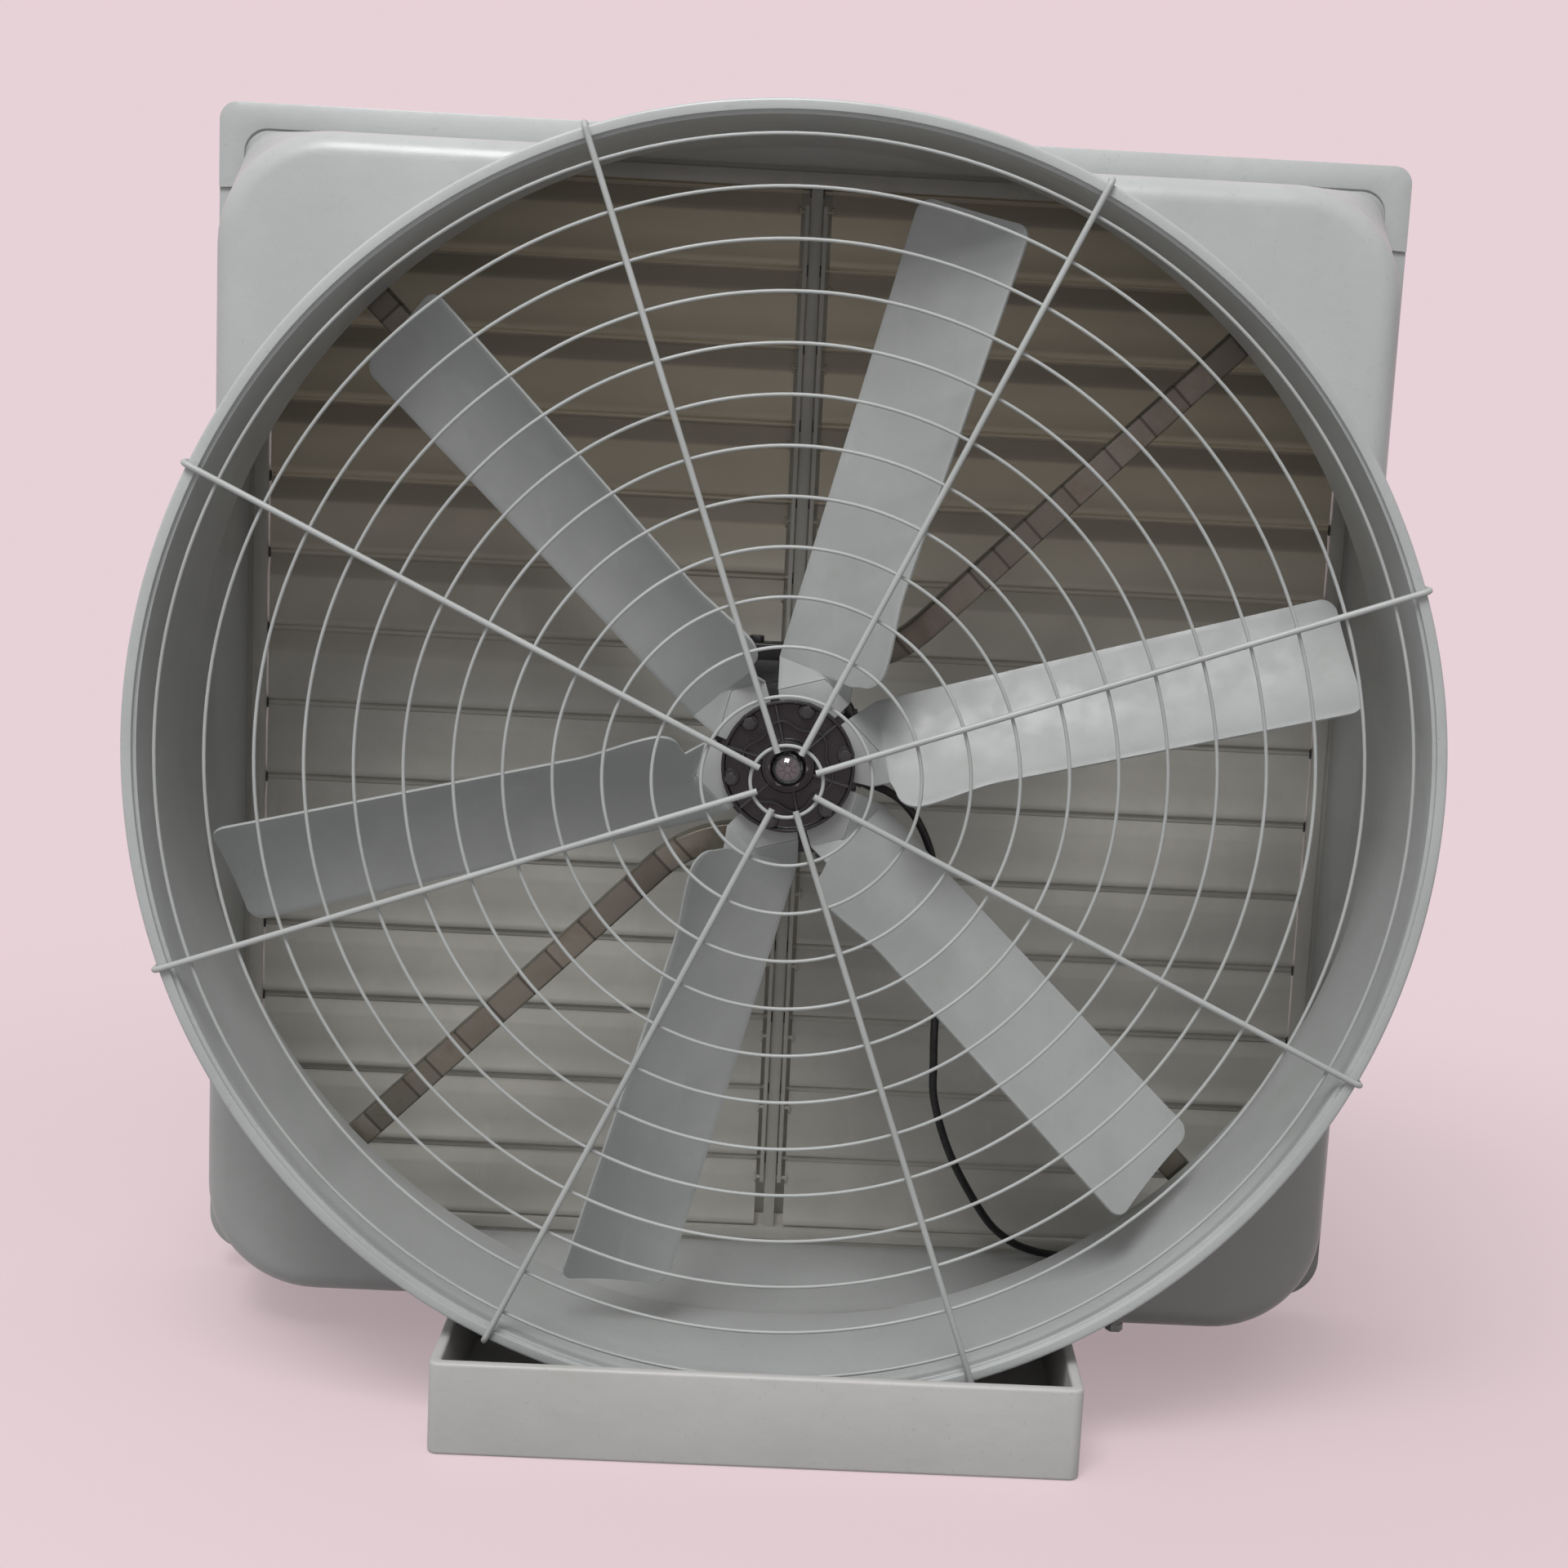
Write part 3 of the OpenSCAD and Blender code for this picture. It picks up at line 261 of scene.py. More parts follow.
class Shading:
    """Wires the nodes of a material by name."""

    def __init__(self, name):
        self.name = name
        self.material = bpy.data.materials.new(name)
        self.material.use_nodes = True
        self.tree = self.material.node_tree
        self.tree.nodes.clear()
        self.place = self.add("TexCoord").outputs["Object"]

    @classmethod
    def on(cls, tree):
        """The same on an emptied tree that is not a material's."""
        helper = cls.__new__(cls)
        helper.tree = tree
        tree.nodes.clear()
        return helper

    def join(self, socket, value):
        """Links a node's output to the socket, or sets a plain number or colour on it."""
        if isinstance(value, bpy.types.NodeSocket):
            self.tree.links.new(value, socket)
        elif socket.type == "RGBA":
            socket.default_value = (*value[:3], 1.0)
        else:
            socket.default_value = value

    def add(self, kind, settings=None, **inputs):
        node = self.tree.nodes.new("ShaderNode" + kind)
        for key, value in (settings or {}).items():
            setattr(node, key, value)
        for key, value in inputs.items():
            self.join(node.inputs[key.replace("_", " ")], value)
        return node

    def noise(self, scale, detail=4.0, rough=0.55, stretch=None, seed=0.0):
        place = self.place
        if stretch or seed:
            mapping = self.add("Mapping", Vector=place)
            mapping.inputs["Location"].default_value = (seed, 1.7 * seed, -seed)
            mapping.inputs["Scale"].default_value = stretch or (1, 1, 1)
            place = mapping.outputs["Vector"]
        return self.add(
            "TexNoise", Vector=place, Scale=scale, Detail=detail, Roughness=rough
        ).outputs["Fac"]

    def maths(self, operation, first, second=0.0):
        node = self.add("Math", {"operation": operation})
        for socket, value in zip(node.inputs, (first, second)):
            self.join(socket, value)
        return node.outputs[0]

    def product(self, first, *others):
        for other in others:
            first = self.maths("MULTIPLY", first, other)
        return first

    def apart(self, vector):
        """The x, y and z of a vector."""
        return self.add("SeparateXYZ", Vector=vector).outputs

    def ranged(self, value, low, high, to_low, to_high):
        node = self.add("MapRange", {"interpolation_type": "SMOOTHSTEP"}, Value=value)
        for key, limit in zip(RANGE, (low, high, to_low, to_high)):
            node.inputs[key].default_value = limit
        return node.outputs["Result"]

    def mix(self, factor, first, second):
        """A blend of two colours; the colour sockets of the node share their names."""
        node = self.add("Mix", {"data_type": "RGBA"})
        for index, value in ((0, factor), (6, first), (7, second)):
            self.join(node.inputs[index], value)
        return node.outputs[2]

    def blend(self, factor, first, second):
        """A blend of two shaders; both of the node's inputs are called Shader."""
        node = self.add("MixShader")
        for socket, value in zip(node.inputs, (factor, first, second)):
            self.tree.links.new(value, socket)
        return node.outputs[0]

    def patched(self, under, over, grain, low, high, most=1.0, seed=0.0, stretch=None):
        """A colour with patches of another, from a noise of (scale, detail, roughness)."""
        patches = self.noise(*grain, stretch=stretch, seed=seed)
        return self.mix(self.ranged(patches, low, high, 0, most), under, over)

    def gloss(self, grain, low, high, seed, stretch=None):
        """A roughness that wanders between two values."""
        return self.ranged(self.noise(*grain, stretch=stretch, seed=seed), 0.3, 0.7, low, high)

    def bump(self, height, distance, strength, **under):
        node = self.add("Bump", Height=height, Strength=strength, Distance=distance, **under)
        return node.outputs["Normal"]

    def finish(self, **inputs):
        shader = self.add("BsdfPrincipled", **inputs)
        self.add("OutputMaterial", Surface=shader.outputs["BSDF"])
        FINISH[self.name] = self.material


def tone(base, factor):
    return tuple(min(1.0, channel * factor) for channel in base)


def tinted(base, red, green, blue):
    return (base[0] * red, base[1] * green, base[2] * blue)


def moulded(name, base, lumps, rough, seed, relief=0.0009, front=None):
    """Gel-coated glass fibre with stains; given the box's front, also painted shade low on the
    box behind it, heavier on the right.
    """
    s = Shading(name)
    body = s.patched(tone(base, 0.93), tone(base, 1.06), (2.2, 5, 0.6), 0.35, 0.68, seed=seed)
    stain, drip, speck = tinted(base, 0.80, 0.84, 0.78), tone(base, 0.74), tone(base, 0.62)
    body = s.patched(body, stain, (5.5, 6, 0.65), 0.56, 0.74, 0.42, seed + 3)
    body = s.patched(body, drip, (7.0, 3, 0.5), 0.60, 0.78, 0.22, seed + 7, (1.6, 1.6, 0.18))
    body = s.patched(body, speck, (160.0, 2, 0.5), 0.66, 0.74, 0.28, seed)
    if front is not None:
        x, y, z = s.apart(s.place)
        # Painted shade: low on the box, behind its front, darker on the right and towards the
        # corners, where the horn shades it.
        horn_shadow = s.product(
            s.ranged(z, 0.12, 0.62, 1, 0),
            s.ranged(y, front - 0.03, front + 0.01, 0, 1),
            s.ranged(x, -0.6, 0.6, 0.36, 0.76),
            s.ranged(s.maths("ABSOLUTE", x), 0.34, 0.48, 0.12, 1),
            s.ranged(s.noise(3.4, 6, 0.65, seed=seed + 11), 0.3, 0.6, 0.72, 1.0),
        )
        body = s.mix(horn_shadow, body, tinted(base, 0.43, 0.42, 0.37))
    gloss = s.gloss((9.0, 4), rough - 0.07, rough + 0.09, seed + 1)
    waves = s.bump(s.noise(5.0, 2, 0.4, seed=seed), 0.004, 0.35)
    peel = s.bump(s.noise(lumps, 3, 0.55), relief, 0.42, Normal=waves)
    s.finish(
        Base_Color=body, Roughness=gloss, Normal=peel, Coat_Weight=0.20, Coat_Roughness=0.24
    )


def coated(name, base, rough, grain, seed, wear=0.25, laps=None):
    """Paint or plastic coating with dust and rubbed places; with laps given, also painted shade
    under each lap and a painted warm sheen on the upper rows.
    """
    s = Shading(name)
    body = s.patched(tone(base, 0.92), tone(base, 1.06), (6.0, 5, 0.6), 0.35, 0.70, seed=seed)
    dust, rub = tinted(base, 0.78, 0.80, 0.76), tone(base, 1.22)
    body = s.patched(body, dust, (21.0, 6, 0.7), 0.52, 0.76, wear, seed + 2)
    body = s.patched(body, rub, (34.0, 3, 0.6), 0.62, 0.74, wear * 0.6, seed + 5, (1, 1, 0.25))
    if laps:
        first, pitch = laps
        z = s.apart(s.place)[2]
        below = s.maths("FRACT", s.maths("DIVIDE", s.maths("SUBTRACT", first, z), pitch))
        # Faces turned to the front, the only ones that take the painted shade and light below.
        facing = s.apart(s.add("TexCoord").outputs["Normal"])[1]
        inside = s.ranged(facing, -0.3, 0.1, 1, 0)
        # Painted shade under each lap: the top of every slat, just below the slat above, is
        # darkened, more on the higher rows.
        lap_shadow = s.product(
            s.ranged(below, 0.27, 0.33, 1, 0), s.ranged(z, 0.70, 1.10, 0.04, 0.58), inside
        )
        # Painted light: the fronts of the upper rows are made lighter and warmer, a painted
        # sheen.
        dust_and_sheen = s.product(s.ranged(z, 0.75, 1.15, 0, 1), inside)
        body = s.mix(dust_and_sheen, body, tinted(base, 1.24, 1.12, 0.94))
        body = s.mix(lap_shadow, body, tinted(base, 0.38, 0.35, 0.32))
    gloss = s.gloss((28.0, 4), rough - 0.08, rough + 0.10, seed)
    skin = s.bump(s.noise(grain, 3, 0.55), 0.0004, 0.35)
    s.finish(Base_Color=body, Roughness=gloss, Normal=skin)


def black_paint(name, base, rough, seed, edge=0.35, dust_and_sheen=2.6):
    """Black paint with dust on its flats, and rubbed along its edges."""
    s = Shading(name)
    dust = tinted(tone(base, dust_and_sheen), 1.0, 0.98, 0.92)
    body = s.patched(base, dust, (30.0, 6, 0.7), 0.45, 0.75, seed=seed)
    worn = s.add("NewGeometry").outputs["Pointiness"]
    rubbed = s.ranged(worn, 0.53, 0.60, 0, edge)
    body = s.mix(rubbed, body, (0.11, 0.11, 0.11))
    gloss = s.gloss((45.0, 5), rough - 0.10, rough + 0.15, seed)
    cast = s.bump(s.noise(240.0, 3, 0.6), 0.0005, 0.4)
    s.finish(Base_Color=body, Roughness=gloss, Normal=cast)


def bare_metal(name, base, rough, seed, grain=(1, 1, 1), tarnish=0.4):
    """Steel, chrome or aluminium with fine scratches and patches of tarnish."""
    s = Shading(name)
    dull = tinted(base, 0.72, 0.66, 0.56)
    body = s.patched(base, dull, (18.0, 6, 0.65), 0.45, 0.75, tarnish, seed)
    gloss = s.gloss((70.0, 5, 0.6), rough * 0.6, rough * 1.6, seed, grain)
    scratches = s.bump(s.noise(420.0, 2, 0.5, stretch=grain), 0.0002, 0.22)
    s.finish(Base_Color=body, Roughness=gloss, Normal=scratches, Metallic=1.0)


def brace_metal(name, base, black, seed):
    """Dull bent tube with painted reflections as patches between thin dark cross lines, painted
    shade on its ends and a middle painted black.
    """
    s = Shading(name)
    x, _, z = s.apart(s.place)
    side = s.maths("ABSOLUTE", x)
    height = s.maths("ABSOLUTE", s.maths("SUBTRACT", z, FAN.z))
    reach = s.product(s.maths("ADD", side, height), math.sqrt(0.5))
    arm = s.product(s.maths("GREATER_THAN", x, 0.0), 7.3)
    arm = s.maths("ADD", arm, s.product(s.maths("GREATER_THAN", z, FAN.z), 13.1))
    along = s.maths("ADD", s.product(reach, 19.0), arm)
    cell = {"voronoi_dimensions": "1D"}
    # Painted reflections: lighter and darker patches along each arm.
    reflection_patch = s.add("TexVoronoi", cell, W=along, Scale=1.0).outputs["Color"]
    # Painted reflections: thin dark cross lines between the patches.
    line = s.add(
        "TexVoronoi", {**cell, "feature": "DISTANCE_TO_EDGE"}, W=along, Scale=1.0
    ).outputs["Distance"]
    shade = s.add("SeparateColor", Color=reflection_patch).outputs[0]
    body = s.mix(shade, tone(base, 0.74), tone(base, 1.30))
    dull = tinted(base, 0.78, 0.66, 0.54)
    body = s.patched(body, dull, (24.0, 6, 0.65), 0.45, 0.75, 0.6, seed)
    body = s.mix(s.ranged(line, 0.015, 0.05, 0.8, 0), body, tone(base, 0.25))
    # Painted shade on the last stretch of each arm towards its foot plate.
    body = s.mix(s.ranged(reach, 0.70, 0.75, 0, 0.75), body, tone(base, 0.3))
    painted = s.ranged(side, 0.057, 0.063, 1, 0)
    body = s.mix(painted, body, black)
    bare = s.product(s.maths("SUBTRACT", 1.0, painted), 0.35)
    gloss = s.gloss((60.0, 5, 0.6), 0.26, 0.46, seed)
    scratches = s.bump(s.noise(380.0, 2, 0.5), 0.0002, 0.25)
    s.finish(Base_Color=body, Roughness=gloss, Normal=scratches, Metallic=bare)


def rubber(name, base, seed):
    """Matt black cable sheath with a little dust."""
    s = Shading(name)
    body = s.patched(base, (0.055, 0.052, 0.048), (40.0, 5, 0.7), 0.5, 0.8, 0.7, seed)
    gloss = s.gloss((60.0, 4), 0.42, 0.66, seed)
    skin = s.bump(s.noise(520.0, 2, 0.5), 0.0002, 0.4)
    s.finish(Base_Color=body, Roughness=gloss, Normal=skin)


def make_finishes(colours, housing_front, shutter):
    """Fills FINISH with every finish of the fan."""
    laps = (FAN.z + shutter.first_hinge, shutter.row_pitch)
    black, steel = tuple(colours.black), tuple(colours.steel)
    moulded("shell", colours.shell, lumps=90.0, rough=0.38, seed=0.0, front=housing_front)
    moulded("tray", colours.tray, lumps=30.0, rough=0.55, seed=4.0, relief=0.0024)
    coated("guard_wire", colours.wire, rough=0.36, grain=300.0, seed=1.0)
    coated("blade", colours.blade, rough=0.44, grain=210.0, seed=2.0, wear=0.34)
    # The slats take the shutter colour made 6% lighter, painted light that brightens the lower
    # rows.
    for name, base, lap in (
        ("shutter", colours.shutter, None), ("slat", tone(colours.shutter, 1.06), laps)
    ):
        coated(name, base, rough=0.50, grain=180.0, seed=3.0, wear=0.4, laps=lap)
    coated("plastic_grey", (0.10, 0.105, 0.11), rough=0.48, grain=400.0, seed=6.0)
    black_paint("hub_black", tone(black, 0.7), rough=0.28, seed=1.0, dust_and_sheen=1.8)
    black_paint("motor_black", tone(black, 1.2), rough=0.46, seed=2.0)
    black_paint("bolt_black", tone(black, 0.9), rough=0.30, seed=3.0, edge=0.5)
    black_paint("plastic_black", tone(black, 1.1), rough=0.42, seed=5.0, edge=0.1)
    bare_metal("bolt_steel", tone(steel, 0.95), rough=0.30, seed=1.0)
    # The dome nut's chrome is darkened to a base of about 0.17, a painted dark reflection.
    bare_metal("nut_chrome", (0.17, 0.175, 0.18), rough=0.12, seed=2.0, tarnish=0.2)
    bare_metal("shaft_steel", steel, rough=0.26, seed=3.0, grain=(1, 0.1, 1))
    bare_metal("rotor_aluminium", (0.72, 0.72, 0.73), rough=0.34, seed=4.0)
    bare_metal("stator_steel", tone(steel, 0.7), rough=0.45, seed=5.0)
    bare_metal("copper", (0.74, 0.36, 0.17), rough=0.30, seed=6.0, grain=(1, 6, 1))
    brace_metal("brace_steel", (0.175, 0.165, 0.134), tone(black, 0.8), seed=7.0)
    rubber("rubber_black", tone(black, 0.8), seed=1.0)


# Shapes


def keep_piece(obj, body="housing", nodes=()):
    """Gives a finished piece its body and hides the CAD nodes it stands for."""
    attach(obj, body)
    if nodes:
        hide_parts(*nodes)


def mesh_object(name, points, faces, slot, merge=1e-6):
    """A closed mesh from points measured from the rim plane and the axis."""
    mesh = bpy.data.meshes.new(name)
    bm = bmesh.new()
    corners = [bm.verts.new(Vector(p) + FAN) for p in points]
    for face in faces:
        bm.faces.new([corners[i] for i in face])
    bmesh.ops.remove_doubles(bm, verts=bm.verts, dist=merge)
    bmesh.ops.dissolve_degenerate(bm, dist=merge, edges=bm.edges)
    bmesh.ops.recalc_face_normals(bm, faces=bm.faces)
    bm.to_mesh(mesh)
    bm.free()
    return shown(name, mesh, slot)


def linked(name, data):
    """A new object in the scene."""
    obj = bpy.data.objects.new(name, data)
    bpy.context.scene.collection.objects.link(obj)
    return obj


def smoothed(mesh, crease=35.0):
    """Shades a mesh smooth, apart from the edges that are sharper than the crease."""
    mesh.shade_smooth()
    mesh.set_sharp_from_angle(angle=math.radians(crease))


def shown(name, mesh, slot):
    """A mesh in its finish, as an object of the scene."""
    mesh.materials.clear()
    mesh.materials.append(FINISH[slot])
    smoothed(mesh)
    return linked(name, mesh)


def baked(obj, crease=35.0):
    """Turns a mesh object and its modifiers into one plain mesh."""
    graph = bpy.context.evaluated_depsgraph_get()
    mesh = bpy.data.meshes.new_from_object(obj.evaluated_get(graph), depsgraph=graph)
    old = obj.data
    obj.modifiers.clear()
    obj.data = mesh
    if not mesh.materials:
        for material in old.materials:
            mesh.materials.append(material)
    bpy.data.meshes.remove(old)
    smoothed(mesh, crease)
    return obj


def rounded_edges(obj, width, segments=2, over=30.0):
    """Breaks the edges that are sharper than an angle."""
    bevel = obj.modifiers.new("Edges", "BEVEL")
    bevel.width = width
    bevel.segments = segments
    bevel.limit_method = "ANGLE"
    bevel.angle_limit = math.radians(over)
    bevel.use_clamp_overlap = True


def dressed(node, slot, width, body="housing", segments=2, over=30.0):
    """A CAD node's own shape with its edges broken."""
    bm = bmesh.new()
    bm.from_mesh(frame["nodes"][node].data)
    bmesh.ops.remove_doubles(bm, verts=bm.verts, dist=2e-6)
    bmesh.ops.dissolve_limit(bm, angle_limit=math.radians(0.8), verts=bm.verts, edges=bm.edges)
    name = node + "_finished"
    mesh = bpy.data.meshes.new(name)
    bm.to_mesh(mesh)
    bm.free()
    obj = shown(name, mesh, slot)
    rounded_edges(obj, width, segments, over)
    keep_piece(baked(obj), body, [node])


def loft(rows, closed_rows=False, closed_columns=True):
    """Points and faces of a grid of rows; each row is an array of points."""
    count, width = len(rows), len(rows[0])
    points = np.concatenate(rows)
    faces = []
    for i in range(count if closed_rows else count - 1):
        a, b = i * width, ((i + 1) % count) * width
        for j in range(width if closed_columns else width - 1):
            k = (j + 1) % width
            faces.append((a + j, a + k, b + k, b + j))
    return points, faces


def capped(rows):
    """A closed bar through rows that are outlines of the same length."""
    points, faces = loft(rows)
    count, last = len(rows[0]), (len(rows) - 1) * len(rows[0])
    faces.append(tuple(range(count)))
    faces.append(tuple(last + i for i in reversed(range(count))))
    return points, faces


def plate(outline, front, back):
    """A flat plate with an outline of (across, up) corners, from one depth to another."""
    return capped([np.array([(x, y, z) for x, z in outline]) for y in (front, back)])


def rounded_square(side, corner):
    """The outline of a square with rounded corners."""
    flat = side / 2 - corner
    outline = []
    for k, (x, y) in enumerate(((1, 1), (-1, 1), (-1, -1), (1, -1))):
        for a in np.radians(90 * k + np.linspace(0, 90, 5)):
            outline.append((x * flat + corner * math.cos(a), y * flat + corner * math.sin(a)))
    return outline


def around(count):
    """Evenly spaced angles of a full turn."""
    return np.arange(count) * (2 * math.pi / count)


def ring(radius, depth, turns):
    """One row about the axis at a depth, at a radius that may change with the angle."""
    across, up = radius * np.cos(turns), radius * np.sin(turns)
    return np.stack([across, np.full(turns.shape, depth), up], axis=1)


def lathe(profile, sides):
    """A closed profile of (radius, depth) points turned about the axis."""
    turns = around(sides)
    return loft([ring(radius, depth, turns) for radius, depth in profile], closed_rows=True)


def eased(corner_list):
    """A closed profile of (radius, depth, rounding) corners with each corner rounded."""
    out = []
    count = len(corner_list)
    for i, (r, y, bend) in enumerate(corner_list):
        here = Vector((r, y))
        if not bend:
            out.append(tuple(here))
            continue
        before = Vector(corner_list[i - 1][:2]) - here
        after = Vector(corner_list[(i + 1) % count][:2]) - here
        a = here + before.normalized() * min(bend, before.length * 0.49)
        b = here + after.normalized() * min(bend, after.length * 0.49)
        for t in (0.0, 0.33, 0.67, 1.0):
            out.append(tuple((1 - t) ** 2 * a + 2 * t * (1 - t) * here + t * t * b))
    return out


def headings(path):
    """The direction of a path of vectors at each of its points."""
    last = len(path) - 1
    return [
        (path[min(i + 1, last)] - path[max(i - 1, 0)]).normalized() for i in range(last + 1)
    ]


def sweep(path, radius, sides):
    """A closed round bar along a path."""
    turns = around(sides)
    tangents = headings(path)
    side = tangents[0].orthogonal().normalized()
    rows = []
    for point, tangent in zip(path, tangents):
        side = (side - tangent * side.dot(tangent)).normalized()
        other = tangent.cross(side)
        rows.append(
            np.array([point + radius * (math.cos(a) * side + math.sin(a) * other) for a in turns])
        )
    return capped(rows)


def joined(parts):
    """Several (points, faces) pairs as one."""
    points, faces, start = [], [], 0
    for some_points, some_faces in parts:
        points.extend(tuple(p) for p in some_points)
        faces.extend(tuple(i + start for i in face) for face in some_faces)
        start += len(some_points)
    return points, faces


class NodeTree:
    """A Geometry Nodes tree with named inputs, whose kinds follow from their values."""

    def __init__(self, name, values):
        self.group = bpy.data.node_groups.new(name, "GeometryNodeTree")
        face = self.group.interface
        face.new_socket("Geometry", in_out="INPUT", socket_type="NodeSocketGeometry")
        face.new_socket("Geometry", in_out="OUTPUT", socket_type="NodeSocketGeometry")
        self.values, self.ids = values, {}
        for label, value in values.items():
            kind = {int: "Int", float: "Float", tuple: "Vector"}[type(value)]
            socket = face.new_socket(label, in_out="INPUT", socket_type="NodeSocket" + kind)
            socket.default_value = value
            self.ids[label] = socket.identifier
        self.start = self.group.nodes.new("NodeGroupInput").outputs

    def __getitem__(self, label):
        return self.start[label]

    def add(self, kind, settings=None, **inputs):
        node = self.group.nodes.new(kind if "Node" in kind else "GeometryNode" + kind)
        for key, value in (settings or {}).items():
            setattr(node, key, value)
        for key, value in inputs.items():
            numbered = key[0] == "i" and key[1:].isdigit()
            socket = node.inputs[int(key[1:]) if numbered else key.replace("_", " ")]
            if isinstance(value, bpy.types.NodeSocket):
                self.group.links.new(value, socket)
            else:
                socket.default_value = value
        return node.outputs

    def maths(self, operation, first, second=0.0):
        return self.add("ShaderNodeMath", {"operation": operation}, i0=first, i1=second)[0]

    def times(self, first, second):
        return self.maths("MULTIPLY", first, second)

    def vector(self, x=0.0, y=0.0, z=0.0):
        return self.add("ShaderNodeCombineXYZ", X=x, Y=y, Z=z)[0]

    def gathered(self, *parts):
        """Several geometries joined; the join node takes them in the order of the links."""
        node = self.group.nodes.new("GeometryNodeJoinGeometry")
        for part in parts:
            self.group.links.new(part, node.inputs[0])
        return node.outputs[0]

    def close(self, geometry, material):
        """Ends the tree with real geometry in one material."""
        solid = self.add("RealizeInstances", Geometry=geometry)[0]
        solid = self.add("SetMaterial", Geometry=solid, Material=material)[0]
        out = self.group.nodes.new("NodeGroupOutput")
        self.group.links.new(solid, out.inputs["Geometry"])

    def run(self, name, mesh, changed=(), crease=40.0):
        """The tree's result on a base mesh, as a plain mesh."""
        obj = linked(name, mesh)
        modifier = obj.modifiers.new("Build", "NODES")
        modifier.node_group = self.group
        for label, value in {**self.values, **dict(changed)}.items():
            modifier[self.ids[label]] = value
        return baked(obj, crease)


def outline_mesh(name, points):
    """Edges only, as the base of a tree that turns them into a curve."""
    mesh = bpy.data.meshes.new(name)
    mesh.from_pydata(points, [(i, i + 1) for i in range(len(points) - 1)], [])
    return mesh


# Steps


class Step:
    """Runs a step's build on the scene, from the sizes kept there."""

    def execute(self, context):
        self.build(context.scene)
        return {"FINISHED"}


# Stage

CAMERA_PLACE = (0.0186, -2.7906, 1.1733)
# Degrees to the right, downwards and of roll
CAMERA_TURN = (1.457, 9.241, 3.053)
# The picture's centre lies off the lens axis by these shares of its width
CAMERA_SHIFT = (-97.7 / 1920, 10 / 1920)
LAMP_PLACE, LAMP_AIM, LAMP_SIDE = (-1.0, -3.9, 6.4), (0, 0, 0.76), 3.0
# Where the soft light comes from
SKY_SIDE = Vector((-0.60, -0.20, 0.78)).normalized()


